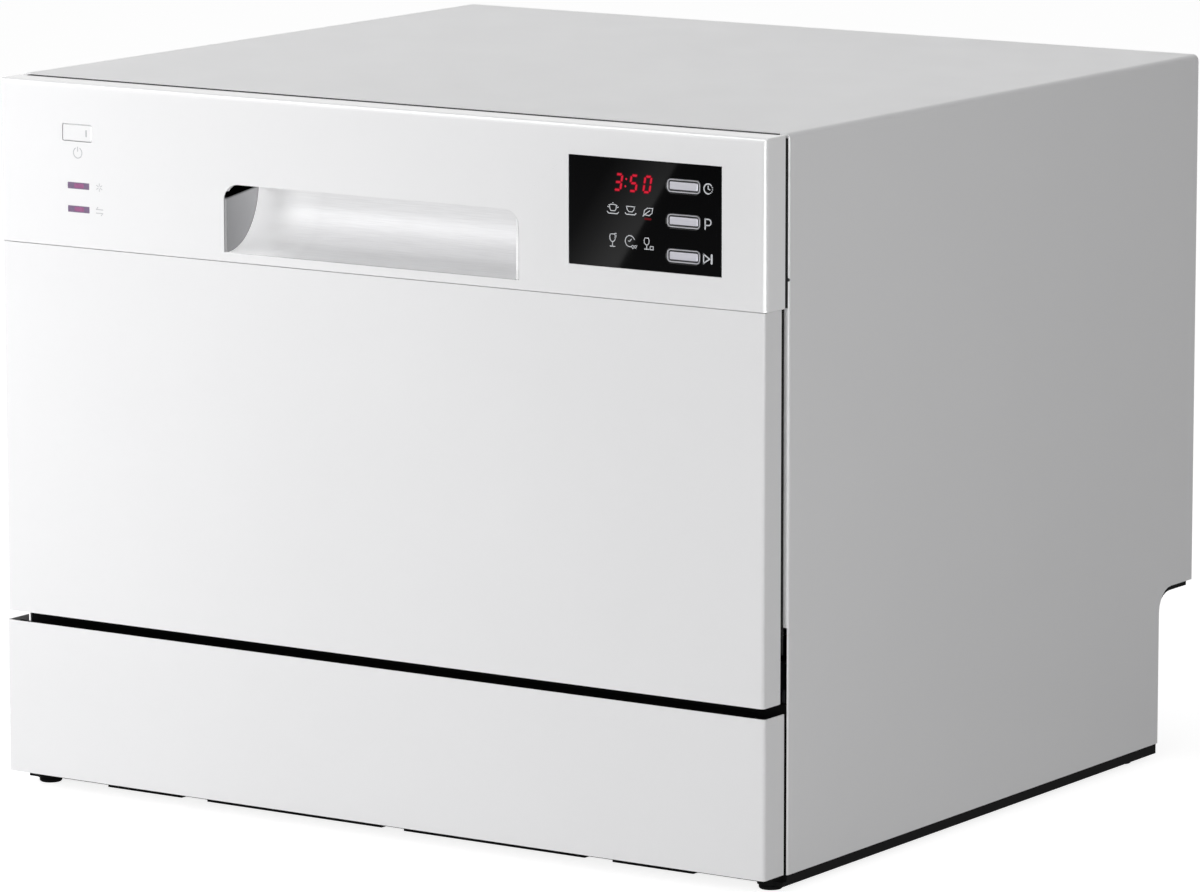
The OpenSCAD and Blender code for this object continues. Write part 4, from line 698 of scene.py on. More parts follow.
class Shape:
    """Vertices and faces of one piece, gathered in millimetres."""

    def __init__(self):
        self.points = []
        self.faces = []

    def add(self, points, faces):
        start = len(self.points)
        self.points += [tuple(p) for p in points]
        self.faces += [tuple(start + i for i in face) for face in faces]

    def rings(self, rings, closed=False, caps=True):
        """A skin over rings of equally many points."""
        count = len(rings[0])
        points = [p for ring in rings for p in ring]
        steps = len(rings) if closed else len(rings) - 1
        faces = []
        for i in range(steps):
            a, b = i * count, (i + 1) % len(rings) * count
            for k in range(count):
                n = (k + 1) % count
                faces.append((a + k, a + n, b + n, b + k))
        if caps and not closed:
            faces.append(tuple(range(count - 1, -1, -1)))
            last = (len(rings) - 1) * count
            faces.append(tuple(last + k for k in range(count)))
        self.add(points, faces)

    def tube(self, path, radius, sides=10, closed=False):
        """A round rod along a path. Its free ends are domed."""
        path = [Vector(p) for p in path]
        count = len(path)
        tangents = []
        for i in range(count):
            if closed:
                tangents.append((path[(i + 1) % count] - path[i - 1]).normalized())
            else:
                tangents.append((path[min(i + 1, count - 1)] - path[max(i - 1, 0)]).normalized())
        side = tangents[0].orthogonal().normalized()
        rings = []
        for i, (point, tangent) in enumerate(zip(path, tangents)):
            side = (side - tangent * side.dot(tangent)).normalized()
            up = tangent.cross(side)
            rings.append([point + (side * math.cos(a) + up * math.sin(a)) * radius
                          for a in (2 * math.pi * k / sides for k in range(sides))])
        if closed:
            self.rings(rings, closed=True)
            return
        dome = []
        for share in (0.95, 0.6):
            dome.append((math.sqrt(1 - share * share), share))
        start, end = [], []
        for shrink, reach in dome:
            start.append([path[0] - tangents[0] * radius * reach + (p - path[0]) * shrink for p in rings[0]])
            end.append([path[-1] + tangents[-1] * radius * reach + (p - path[-1]) * shrink for p in rings[-1]])
        self.rings(start + rings + end[::-1])

    def lathe(self, profile, centre, axis, steps=48, closed=False):
        """A profile of (distance along the axis, radius) turned about an axis through centre."""
        centre, axis = Vector(centre), Vector(axis)
        side = axis.orthogonal().normalized()
        up = axis.cross(side)
        rings = []
        for along, radius in profile:
            rings.append([centre + axis * along + (side * math.cos(a) + up * math.sin(a)) * radius
                          for a in (2 * math.pi * k / steps for k in range(steps))])
        self.rings(rings, closed=closed)

    def plate(self, outline, holes, y_front, y_back, bevel=0.0):
        """A plate facing -Y: an outline in X and Z with holes, its front edges bevelled."""
        loops = [outline] + list(holes)
        flat = [Vector((x, z, 0)) for loop in loops for x, z in loop]
        triangles = tessellate_polygon([[Vector((x, z, 0)) for x, z in loop] for loop in loops])
        inner = [inset(loop, bevel if i == 0 else -bevel) for i, loop in enumerate(loops)]
        front = [(x, y_front, z) for loop in inner for x, z in loop]
        edge = [(p.x, y_front + bevel, p.y) for p in flat]
        back = [(p.x, y_back, p.y) for p in flat]
        count = len(flat)
        faces = []
        for a, b, c in triangles:
            turn = (flat[b] - flat[a]).cross(flat[c] - flat[a]).z
            a, b, c = (a, b, c) if turn > 0 else (a, c, b)
            faces.append((a, b, c))
            faces.append((2 * count + a, 2 * count + c, 2 * count + b))
        start = 0
        for loop in loops:
            size = len(loop)
            outward = area(loop) > 0
            for k in range(size):
                a, b = start + k, start + (k + 1) % size
                first, second = (a, b) if not outward else (b, a)
                for layer in (0, count):
                    faces.append((layer + first, layer + second, layer + count + second, layer + count + first))
            start += size
        self.add(front + edge + back, faces)

    def piece(self, name, body, material, slot, smooth=True, bevel=0.0):
        """Makes the object: it rides on a body and takes the named material; the slot argument is not used."""
        mesh = bpy.data.meshes.new(name)
        mesh.from_pydata([tuple(c * MM for c in p) for p in self.points], [], self.faces)
        mesh.validate()
        mesh.materials.append(MATERIALS[material])
        made = bpy.data.objects.new(name, mesh)
        bpy.context.scene.collection.objects.link(made)
        if bevel:
            rounded = made.modifiers.new("bevel", "BEVEL")
            rounded.limit_method = "ANGLE"
            rounded.angle_limit = ROUND_LIMIT
            rounded.width = bevel * MM
            rounded.segments = 2
        if smooth:
            for polygon in mesh.polygons:
                polygon.use_smooth = True
            split = made.modifiers.new("split", "EDGE_SPLIT")
            split.split_angle = SMOOTH_LIMIT
            shade_by_area(made)
        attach(made, body)
        return made


def area(loop):
    return sum(a[0] * b[1] - b[0] * a[1] for a, b in zip(loop, loop[1:] + loop[:1])) / 2


def inset(loop, distance):
    """The outline moved inwards by a distance, or outwards where it is negative."""
    if area(loop) < 0:
        distance = -distance
    moved = []
    count = len(loop)
    for i in range(count):
        before, here, after = (Vector(loop[i - 1]), Vector(loop[i]), Vector(loop[(i + 1) % count]))
        first, second = (here - before).normalized(), (after - here).normalized()
        normal_a, normal_b = Vector((-first.y, first.x)), Vector((-second.y, second.x))
        middle = (normal_a + normal_b)
        if middle.length < 1e-6:
            middle = normal_a
        middle.normalize()
        moved.append(tuple(here + middle * (distance / max(0.3, middle.dot(normal_a)))))
    return moved


def rounded_rectangle(x0, x1, z0, z1, radius, steps=6):
    loop = []
    corners = ((x1 - radius, z0 + radius, -90), (x1 - radius, z1 - radius, 0),
               (x0 + radius, z1 - radius, 90), (x0 + radius, z0 + radius, 180))
    for x, z, start in corners:
        for i in range(steps + 1):
            a = math.radians(start + 90 * i / steps)
            loop.append((x + radius * math.cos(a), z + radius * math.sin(a)))
    return loop


def arc(x, z, radius, start, end, steps=16):
    return [(x + radius * math.cos(math.radians(start + (end - start) * i / steps)),
             z + radius * math.sin(math.radians(start + (end - start) * i / steps))) for i in range(steps + 1)]


def fillet(path, radius, steps=5):
    """Rounds the inner corners of a path of points in space."""
    path = [Vector(p) for p in path]
    smooth = [path[0]]
    for before, here, after in zip(path, path[1:], path[2:]):
        into, out = (before - here), (after - here)
        reach = min(radius, into.length / 2, out.length / 2)
        start, end = here + into.normalized() * reach, here + out.normalized() * reach
        for i in range(steps + 1):
            t = i / steps
            smooth.append(start * (1 - t) ** 2 + here * 2 * t * (1 - t) + end * t ** 2)
    smooth.append(path[-1])
    return smooth


def fillet_loop(path, radius, steps=5):
    """Rounds every corner of a closed path."""
    closed = fillet([path[-1]] + list(path) + [path[0]], radius, steps)
    return closed[1:-1]


# The printed and lit marks

FACE_Y = box_mm("control_fascia")[0].y
GLASS_BACK = 0.1
MARK_H = 0.03


def stroke_edges(points, width):
    """Left and right edge points along a line of constant width with tapered ends."""
    half = width / 2
    flat = [Vector(p) for p in points]
    first = (flat[1] - flat[0]).normalized()
    last = (flat[-1] - flat[-2]).normalized()
    edges = []
    for i, here in enumerate(flat):
        before, after = flat[max(i - 1, 0)], flat[min(i + 1, len(flat) - 1)]
        into = (here - before).normalized() if i > 0 else first
        out = (after - here).normalized() if i < len(flat) - 1 else into
        normal = Vector((-(into + out).y, (into + out).x)).normalized()
        reach = half / max(0.5, normal.dot(Vector((-into.y, into.x))))
        edges.append((here + normal * reach, here - normal * reach))
    start, end = flat[0] - first * half * 0.8, flat[-1] + last * half * 0.8
    side_a, side_b = Vector((-first.y, first.x)) * half / 2, Vector((-last.y, last.x)) * half / 2
    return [(start + side_a, start - side_a)] + edges + [(end + side_b, end - side_b)]


class Marks(Shape):
    """Thin printed strokes on a face that looks towards -Y."""

    def __init__(self, y):
        super().__init__()
        self.y = y

    def stroke(self, points, centre, width=0.48):
        moved = [(centre[0] + x, centre[1] + z) for x, z in points]
        front, back = self.y - MARK_H, self.y + MARK_H
        self.rings([[(a.x, front, a.y), (b.x, front, b.y), (b.x, back, b.y), (a.x, back, a.y)]
                    for a, b in stroke_edges(moved, width)])

    def ring(self, centre, radius, width=0.48):
        outer = arc(centre[0], centre[1], radius + width / 2, 0, 345, 23)
        inner = arc(centre[0], centre[1], radius - width / 2, 0, 345, 23)
        self.plate(outer, [inner[::-1]], self.y - MARK_H, self.y + MARK_H)

    def blob(self, outline):
        self.plate(outline, [], self.y - MARK_H, self.y + MARK_H)


SEGMENTS = {"3": "abgcd", "5": "afgcd", "0": "abcdef"}
DIGIT_W = 5.3
DIGIT_H = 10.1
SEGMENT_W = 1.15
SLANT = math.tan(math.radians(9.5))


def segment_ends(key):
    half_w, half_h = (DIGIT_W - SEGMENT_W) / 2, (DIGIT_H - SEGMENT_W) / 2
    corners = {"a": ((-half_w, half_h), (half_w, half_h)), "g": ((-half_w, 0), (half_w, 0)),
               "d": ((-half_w, -half_h), (half_w, -half_h)), "b": ((half_w, 0), (half_w, half_h)),
               "c": ((half_w, -half_h), (half_w, 0)), "f": ((-half_w, 0), (-half_w, half_h)),
               "e": ((-half_w, -half_h), (-half_w, 0))}
    return corners[key]


def segment_outline(key, centre, swell=0.0):
    """A pointed bar of the seven-segment display."""
    start, end = (Vector(p) for p in segment_ends(key))
    along = (end - start).normalized()
    across = Vector((-along.y, along.x)) * (SEGMENT_W / 2 + swell)
    tip = SEGMENT_W / 2 - 0.15
    start, end = start + along * (0.42 - swell), end - along * (0.42 - swell)
    bar = [start, start + along * tip - across, end - along * tip - across, end,
           end - along * tip + across, start + along * tip + across]
    return [(centre[0] + p.x + SLANT * p.y, centre[1] + p.y) for p in bar]


def display_digits(window_low):
    """The remaining time in red figures."""
    x, z = window_low.x, window_low.z
    face = FACE_Y + GLASS_BACK
    lit, halo = Marks(face - 0.03), Marks(face)
    row = z + 49.3
    for figure, offset in (("3", 33.9), ("5", 44.3), ("0", 53.7)):
        for key in SEGMENTS[figure]:
            lit.blob(segment_outline(key, (x + offset, row)))
            halo.blob(segment_outline(key, (x + offset, row), 0.42))
    for lean, height in ((0.3, 2.1), (-0.3, -2.1)):
        lit.blob(arc(x + 39.0 + lean, row + height, 0.6, 0, 330, 11))
    lit.piece("display_digits", "door", "red", "window")
    halo.piece("display_glow", "door", "red_halo", "window")
    marker = Marks(face)
    marker.blob(rounded_rectangle(x + 51.6, x + 56.4, z + 28.9, z + 30.1, 0.5, 3))
    marker.piece("programme_marker", "door", "red_dim", "window")


def draw_pot(marks, c):
    marks.stroke([(-2.3, 2.0), (-2.1, 0.2), (-1.4, -0.9), (1.4, -0.9), (2.1, 0.2), (2.3, 2.0)], c)
    marks.stroke([(-2.9, 2.1), (-1.2, 2.7), (1.2, 2.7), (2.9, 2.1)], c)
    marks.stroke([(-0.1, 3.6), (0.1, 3.6)], c, 0.6)
    for side in (-1, 1):
        marks.stroke([(side * 2.9, 1.0), (side * 3.7, 1.4)], c)
    marks.stroke([(-3.9, -1.5), (-2.9, -2.5), (2.9, -2.5), (3.9, -1.5)], c, 0.55)


def draw_cup(marks, c):
    marks.stroke([(-3.0, 2.3), (3.0, 2.3)], c)
    marks.stroke([(-2.7, 2.2), (-2.3, 0.5), (-1.1, -0.7), (1.1, -0.7), (2.3, 0.5), (2.7, 2.2)], c)
    marks.stroke([(-3.7, -1.4), (-2.8, -2.3), (2.8, -2.3), (3.7, -1.4)], c, 0.55)


def draw_leaf(marks, c):
    marks.stroke([(-3.0, -1.6), (-2.6, 0.8), (-0.6, 2.2), (3.1, 2.3), (2.6, -0.6), (0.6, -2.0), (-2.0, -1.7)], c)
    marks.stroke([(-3.6, -2.6), (-1.6, -0.9), (1.2, 0.9)], c)


def draw_goblet(marks, c, scale=1.0):
    bowl = [(-1.4, 3.6), (-1.9, 2.0), (-1.7, 0.4), (-0.7, -0.7), (0.7, -0.7), (1.7, 0.4), (1.9, 2.0), (1.4, 3.6)]
    marks.stroke([(x * scale, z * scale) for x, z in bowl + bowl[:1]], c)
    marks.stroke([(0, -0.9 * scale), (0, -3.2 * scale)], c)
    marks.stroke([(-1.7 * scale, -3.5 * scale), (1.7 * scale, -3.5 * scale)], c)


def draw_window_icons(window_low):
    """Two rows of programme symbols."""
    marks = Marks(FACE_Y + GLASS_BACK)
    column = [window_low.x + 30.2, window_low.x + 42.2, window_low.x + 54.2]
    upper, lower = window_low.z + 33.5, window_low.z + 15.3
    draw_pot(marks, (column[0], upper))
    draw_cup(marks, (column[1], upper))
    draw_leaf(marks, (column[2], upper))
    draw_goblet(marks, (column[0] - 0.3, lower + 0.3))
    for height in (2.0, 3.0, 4.0):
        marks.stroke([(1.5, height - 0.2), (2.7, height + 0.1)], (column[0] - 0.3, lower + 0.3), 0.4)
    marks.stroke(arc(-0.4, 0.6, 3.2, 20, 285, 24), (column[1], lower))
    marks.stroke([(0.6, 1.9), (-0.5, 0.5), (-1.5, 0.7)], (column[1], lower), 0.45)
    for shift in (1.4, 3.2):
        marks.ring((column[1] + shift, lower - 2.4), 0.7, 0.36)
    marks.stroke([(2.05, -2.4), (1.9, -3.4), (1.2, -3.7)], (column[1], lower), 0.36)
    marks.stroke([(4.4, -1.4), (4.2, -2.0)], (column[1], lower), 0.36)
    draw_goblet(marks, (column[2] - 1.0, lower), 0.9)
    marks.stroke([(1.3, -1.4), (1.4, -3.2), (3.4, -3.2), (3.5, -1.4), (1.3, -1.4)], (column[2], lower), 0.48)
    marks.piece("programme_symbols", "door", "ink", "window")


def draw_key_symbols():
    """Delay, programme and start marks beside the keys."""
    marks = Marks(FACE_Y + GLASS_BACK)
    low, high = box_mm("delay_button")
    x = high.x + 3.9
    z = (low.z + high.z) / 2 - 0.2
    radius = 2.85
    marks.stroke(arc(0, 0, radius, 40, 285, 22), (x, z), 0.72)
    for a in (305, 329, 353, 17):
        c = (x + radius * math.cos(math.radians(a)), z + radius * math.sin(math.radians(a)))
        marks.stroke([(-0.15, 0), (0.15, 0)], c, 0.6)
    marks.stroke([(0, 1.7), (0, 0), (1.2, -0.5)], (x, z), 0.65)
    low, high = box_mm("program_button")
    z = (low.z + high.z) / 2 - 0.2
    marks.stroke([(-2.0, -3.1), (-2.0, 2.95)], (x, z), 0.82)
    marks.stroke([(-2.0, 2.7), (0.2, 2.7)] + arc(0.2, 0.95, 1.75, 80, -80, 8) + [(0.2, -0.8), (-2.0, -0.8)], (x, z), 0.75)
    low, high = box_mm("start_button")
    z = (low.z + high.z) / 2 - 0.1
    marks.stroke([(-3.0, -2.8), (-3.0, 2.8)], (x, z), 0.75)
    marks.stroke([(-3.0, 2.6), (1.0, 0), (-3.0, -2.6)], (x, z), 0.75)
    marks.stroke([(2.4, -2.4), (2.4, 2.4)], (x, z), 1.3)
    marks.piece("key_symbols", "door", "ink", "window")


def draw_fascia_marks():
    """Pale marks printed on the white fascia: power, rinse aid and salt."""
    marks = Marks(FACE_Y + 0.01)
    low, high = box_mm("power_button")
    x = (low.x + high.x) / 2 + 0.4
    z = (low.z + high.z) / 2 - 12.0
    marks.stroke(arc(0, 0, 3.2, 120, 420, 20), (x, z), 0.6)
    marks.stroke([(0, 0.9), (0, 3.5)], (x, z), 0.6)
    low, high = box_mm("indicator_lenses")
    x = high.x + 6.5
    upper = high.z - 3.0
    lower = low.z + 3.0
    for i in range(6):
        a = math.radians(60 * i + 30)
        marks.stroke([(0.8 * math.cos(a), 0.8 * math.sin(a)), (2.4 * math.cos(a), 2.4 * math.sin(a))], (x, upper), 0.45)
    marks.stroke([(2.6, 1.1), (-2.4, 1.1), (-1.2, 2.5)], (x, lower), 0.5)
    marks.stroke([(-2.6, -1.1), (2.4, -1.1), (1.2, -2.5)], (x, lower), 0.5)
    marks.piece("fascia_symbols", "door", "pale_ink", "white_plastic")


def build_window():
    """The smoked window with its three key openings."""
    low, high = box_mm("display_window")
    holes = []
    for key in ("start_button", "program_button", "delay_button"):
        a, b = key_box(key)
        holes.append(rounded_rectangle(a[0] - 0.3, b[0] + 0.3, a[1] - 0.3, b[1] + 0.3, KEY_R + 0.3)[::-1])
    glass = Shape()
    outline = rounded_rectangle(low.x, high.x, low.z, high.z, 0.4, 3)
    glass.plate(outline, holes, FACE_Y + GLASS_BACK, high.y, 0.15)
    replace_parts(glass.piece("window_glass", "door", "glass", "window"), "display_window")
    display_digits(low)
    draw_window_icons(low)
    draw_key_symbols()


KEY_R = 2.5
KEY_COLLAR = 1.5
POWER_R = 1.0
RIM_IN = 0.2
RIM_W = 0.65
GROOVE_W = 0.95


def key_box(node):
    """Front corners of a programme key's cap, in X and Z, without its stop collar."""
    low, high = box_mm(node)
    return (low.x + KEY_COLLAR, low.z + KEY_COLLAR), (high.x - KEY_COLLAR, high.z - KEY_COLLAR)


def build_programme_key(node):
    """A key with a bright rim, a groove and a brushed bar."""
    a, b = key_box(node)
    low, high = box_mm(node)
    back = low.y + 4.0

    def outline(shrink, radius):
        return rounded_rectangle(a[0] + shrink, b[0] - shrink, a[1] + shrink, b[1] - shrink, radius)

    rim = Shape()
    rim.plate(outline(RIM_IN, KEY_R - RIM_IN), [outline(RIM_IN + RIM_W, KEY_R - 0.9)[::-1]], low.y + 0.05, back, 0.15)
    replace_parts(rim.piece(node + "_rim", node, "key_rim", "silver_plastic"), node)
    groove = Shape()
    groove.plate(outline(0.3, KEY_R - 0.3), [], low.y + 0.9, back, 0.1)
    collar = rounded_rectangle(low.x, high.x, low.z, high.z, KEY_R + 1)
    groove.plate(collar, [], low.y + 3.2, low.y + 4.6, 0.2)
    middle = ((a[0] + b[0]) / 2, 0, (a[1] + b[1]) / 2)
    groove.lathe([(low.y + 4.5, 1.8), (high.y - 0.3, 1.8), (high.y, 1.5)], middle, (0, 1, 0), 20)
    groove.piece(node + "_base", node, "black", "black_plastic")
    bar = Shape()
    bar.plate(outline(RIM_IN + RIM_W + GROOVE_W, 0.6), [], low.y + 0.02, back, 0.35)
    bar.piece(node + "_bar", node, "key_bar", "silver_plastic")


def build_power_key():
    """The white power key with a grey outline and a light slot."""
    node = "power_button"
    low, high = box_mm(node)
    a = (low.x + KEY_COLLAR, low.z + KEY_COLLAR)
    b = (high.x - KEY_COLLAR, high.z - KEY_COLLAR)
    cap = Shape()
    cap.plate(rounded_rectangle(a[0], b[0], a[1], b[1], POWER_R), [], low.y + 0.02, low.y + 4.2, 0.6)
    cap.plate(rounded_rectangle(low.x, high.x, low.z, high.z, POWER_R + KEY_COLLAR), [], low.y + 3.2, low.y + 4.6,
              0.2)
    middle = ((a[0] + b[0]) / 2, 0, (a[1] + b[1]) / 2)
    cap.lathe([(low.y + 4.5, 1.8), (high.y - 0.3, 1.8), (high.y, 1.5)], middle, (0, 1, 0), 20)
    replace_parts(cap.piece("power_key_cap", node, "white", "white_plastic"), node)
    slot = Marks(low.y + 0.03)
    slot.blob(rounded_rectangle(b[0] - 4.6, b[0] - 3.5, middle[2] - 2.1, middle[2] + 2.1, 0.4, 4))
    slot.piece("power_key_light", node, "pale_ink", "white_plastic")


def build_lenses():
    """Violet indicator lenses with a lit middle."""
    low, high = box_mm("indicator_lenses")
    collar = (2.2, 1.7)
    rows = ((low.z, low.z + 6.3), (high.z - 6.3, high.z))
    lens, glow, frame_mark = Shape(), Marks(FACE_Y - 0.01), Marks(FACE_Y + 0.01)
    for z0, z1 in rows:
        body = rounded_rectangle(low.x + collar[0], high.x - collar[0], z0 + collar[1], z1 - collar[1], 1.4)
        lens.plate(body, [], FACE_Y + 0.05, high.y, 0.3)
        flange = rounded_rectangle(low.x, high.x, z0, z1, 3.0)
        lens.plate(flange, [], FACE_Y + 3.0, FACE_Y + 4.5)
        mid = (low.x + high.x) / 2
        glow.blob(rounded_rectangle(mid - 2.6, mid + 4.6, z0 + 1.9, z1 - 1.7, 0.7))
        frame_mark.blob(rounded_rectangle(low.x + 2.3, high.x - 1.1, z0 + 1.25, z1 - 1.1, 0.25, 2))
    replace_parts(lens.piece("indicator_bodies", "door", "violet", "violet_lens"), "indicator_lenses")
    glow.piece("indicator_glow", "door", "magenta", "violet_lens")
    frame_mark.piece("indicator_frames", "door", "violet", "violet_lens")


# The rack and its shelves, in round wire

WIRE_R = 1.5
RIM_R = 2.2
AXLE_OUT = 13.5
RACK_BEND = 9.0
RACK_CORNER = 20.0


def spread(a, b, count):
    return [a + (b - a) * i / (count + 1) for i in range(1, count + 1)]


def rack_rim(x, y0, y1, z_front, z_side):
    """The top rim: level along the sides and the rear, dipping at the front."""
    dip = 46.0
    path = [(-x, y0, z_front), (x, y0, z_front), (x, y0 + dip * 0.35, z_front), (x, y0 + dip, z_side),
            (x, y1, z_side), (-x, y1, z_side), (-x, y0 + dip, z_side), (-x, y0 + dip * 0.35, z_front)]
    return fillet_loop(path, RACK_CORNER)


def build_rack():
    low, high = box_mm("dish_basket")
    x = high.x - AXLE_OUT - RIM_R
    y0, y1 = low.y + RIM_R, high.y - RIM_R
    axle_z = low.z + 6.0
    floor = axle_z + 20.0 + WIRE_R
    side = high.z - RIM_R
    front = floor + 58.0 - WIRE_R - RIM_R
    rack = Shape()
    rack.tube(rack_rim(x, y0, y1, front, side), RIM_R, 12, closed=True)
    base = [(-x, y0, floor), (x, y0, floor), (x, y1, floor), (-x, y1, floor)]
    rack.tube(fillet_loop(base, RACK_CORNER), RIM_R, 12, closed=True)
    for share in (1 / 3, 2 / 3):
        z = floor + (side - floor) * share
        low_front = share < 0.5
        if low_front:
            loop = [(-x, y0, z - 6), (x, y0, z - 6), (x, y0 + 20, z), (x, y1, z), (-x, y1, z), (-x, y0 + 20, z)]
            rack.tube(fillet_loop(loop, RACK_CORNER), WIRE_R, 10, closed=True)
        else:
            bow = [(x, y0 + 30, z), (x, y1, z), (-x, y1, z), (-x, y0 + 30, z)]
            rack.tube(fillet(bow, RACK_CORNER), WIRE_R, 10)
    bottom = floor + WIRE_R * 1.6
    for y in spread(y0, y1, 12):
        top = side if y > y0 + 46 else front
        ends = [(-x + WIRE_R, y, top), (-x + WIRE_R, y, bottom), (x - WIRE_R, y, bottom), (x - WIRE_R, y, top)]
        rack.tube(fillet(ends, RACK_BEND), WIRE_R, 8)
    for wire_x in spread(-x, x, 13):
        ends = [(wire_x, y0 + WIRE_R, front), (wire_x, y0 + WIRE_R, floor - 0.6),
                (wire_x, y1 - WIRE_R, floor - 0.6), (wire_x, y1 - WIRE_R, side)]
        rack.tube(fillet(ends, RACK_BEND), WIRE_R, 8)
    build_tines(rack, floor, low, high.y - low.y)
    made = rack.piece("rack_wires", "rack", "nylon", "rack_coating")
    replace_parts(made, "dish_basket")
    build_rack_fittings(low, high, x, axle_z, floor)


TINE_ROWS = (0.16, 0.303, 0.526, 0.67)
TINE_PITCH = 27.0
TINE_TOP = 61.0


def build_tines(rack, floor, low, depth):
    """Rows of upright prongs that hold the plates, leaning back a little."""
    first, last = -106.5, 190.5
    count = int((last - first) / TINE_PITCH) + 1
    for row, share in enumerate(TINE_ROWS):
        y = low.y + depth * share
        z = floor + 2.6 * WIRE_R
        rack.tube([(first - 6, y, z), (last + 6, y, z)], WIRE_R, 8)
        lean = 5.0 if row % 2 == 0 else -5.0
        for i in range(count):
            tine_x = first + i * TINE_PITCH
            top = floor + TINE_TOP - 2.5 * WIRE_R
            rack.tube([(tine_x, y, z), (tine_x, y + lean * 0.3, z + 18), (tine_x, y + lean, top)], WIRE_R, 8)


def build_rack_fittings(low, high, x, axle_z, floor):
    """Roller carriers with their axles, and the clips in which the cup shelves turn."""
    fittings = Shape()
    axles = Shape()
    for node in ("front_rollers", "rear_rollers"):
        a, b = box_mm(node)
        y = (a.y + b.y) / 2
        for side in (-1, 1):
            plate = [(-14, 20 + 6), (-9, -2)] + arc(0, 0, 7.5, 200, 340, 10) + [(9, -2), (14, 20 + 6)]
            rings = []
            for depth in (x - RIM_R - 1.6, x + RIM_R + 1.0):
                rings.append([(side * depth, y + u, axle_z + v) for u, v in (plate if side < 0 else plate[::-1])])
            fittings.rings(rings)
            reach = high.x
            axles.lathe([(x - 4, 3.0), (reach - 2.5, 3.0), (reach - 2.5, 5.0), (reach - 0.6, 5.0), (reach, 3.6)],
                        (0, y, axle_z), (side, 0, 0), 28)
    shelf_low, shelf_high = box_mm("cup_shelf_right")
    shelf_z = (shelf_low.z + shelf_high.z) / 2
    axis_x = shelf_high.x - 2.0
    for side in (-1, 1):
        for y in (shelf_low.y + 2.0, shelf_high.y - 5.0):
            hook = arc(0, 0, 4.6, -60, 240, 16)
            hook = hook + [(x - axis_x + 1.5, -4.6), (x - axis_x + 1.5, -14), (x - axis_x - 2.2, -14)]
            rings = []
            for depth in (y, y + 3.0):
                rings.append([(side * (axis_x + u), depth, shelf_z + v) for u, v in (hook if side > 0 else hook[::-1])])
            fittings.rings(rings)
    fittings.piece("rack_carriers", "rack", "grey", "grey_plastic", bevel=0.5)
    axles.piece("rack_axles", "rack", "bright", "bright_steel")


def build_shelf(side):
    """A fold-down cup shelf of round wire on its pivot rod."""
    node = "cup_shelf_left" if side < 0 else "cup_shelf_right"
    low, high = box_mm(node)
    if side < 0:
        outer, inner = low.x, high.x
    else:
        outer, inner = high.x, low.x
    axis_x = outer - side * 2.0
    z = (low.z + high.z) / 2
    y0, y1 = low.y + 10, high.y - 10
    x0, x1 = inner + side * RIM_R * 0.8, axis_x - side * 3
    shelf = Shape()
    shelf.tube([(axis_x, low.y + 1.6, z), (axis_x, high.y - 1.6, z)], 2.0, 12)
    frame_path = [(x0, y0 + 2, z), (x1, y0 + 2, z), (x1, y1 - 2, z), (x0, y1 - 2, z)]
    shelf.tube(fillet_loop(frame_path, 14), 1.7, 10, closed=True)
    for y in spread(y0, y1, 7):
        shelf.tube([(x0, y, z), (axis_x, y, z)], 1.3, 8)
    for x in spread(x0, x1, 2):
        shelf.tube([(x, y0 + 2, z), (x, y1 - 2, z)], 1.3, 8)
    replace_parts(shelf.piece(node + "_wires", node, "nylon", "rack_coating"), node)


# Spray arm and the threaded inlet

def build_spray_arm():
    """Two hollow blades with raised nozzles on a round hub."""
    low, high = box_mm("spray_arm")
    centre_y = (low.y + high.y) / 2
    z0, z1 = low.z, high.z
    length = high.x
    arm = Shape()
    stations = [i / 18 for i in range(19)]
    for side in (-1, 1):
        rings = []
        for share in stations:
            x = 8 + (length - 8) * share
            tip = math.sqrt(max(0.0, 1 - max(0.0, (share - 0.92) / 0.08) ** 2))
            half = (17.5 - 5.5 * share) * max(tip, 0.12)
            thick = (z1 - z0) / 2 * (0.94 - 0.12 * share) * max(tip, 0.25)
            middle = (z0 + z1) / 2
            ring = []
            for k in range(20):
                a = 2 * math.pi * k / 20
                u, v = math.cos(a), math.sin(a)
                u = math.copysign(abs(u) ** 0.75, u)
                v = math.copysign(abs(v) ** 0.6, v)
                ring.append((side * x, centre_y + half * u, middle + thick * v))
            rings.append(ring if side > 0 else ring[::-1])
        arm.rings(rings)
    arm.lathe([(z0, 16), (z0, 19), (z0 + 1, 20), (z1 - 1.5, 20), (z1 - 0.4, 17), (z1, 13), (z1, 8.2),
               (z0, 8.2)], (0, centre_y, 0), (0, 0, 1), 48, closed=True)
    made = arm.piece("spray_blades", "spray_arm", "pale", "grey_plastic")
    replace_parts(made, "spray_arm")
    jets = Shape()
    for side in (-1, 1):
        for i in range(6):
            x = side * (34 + i * (length - 54) / 6)
            y = centre_y + side * (5 if i % 2 == 0 else -5)
            top = z1 - 0.15
            jets.lathe([(top - 1.6, 4.2), (top - 0.5, 4.0), (top, 3.2), (top, 2.0), (top - 1.2, 1.6)], (x, y, 0),
                       (0, 0, 1), 20)
    jets.piece("spray_nozzles", "spray_arm", "black", "black_plastic")


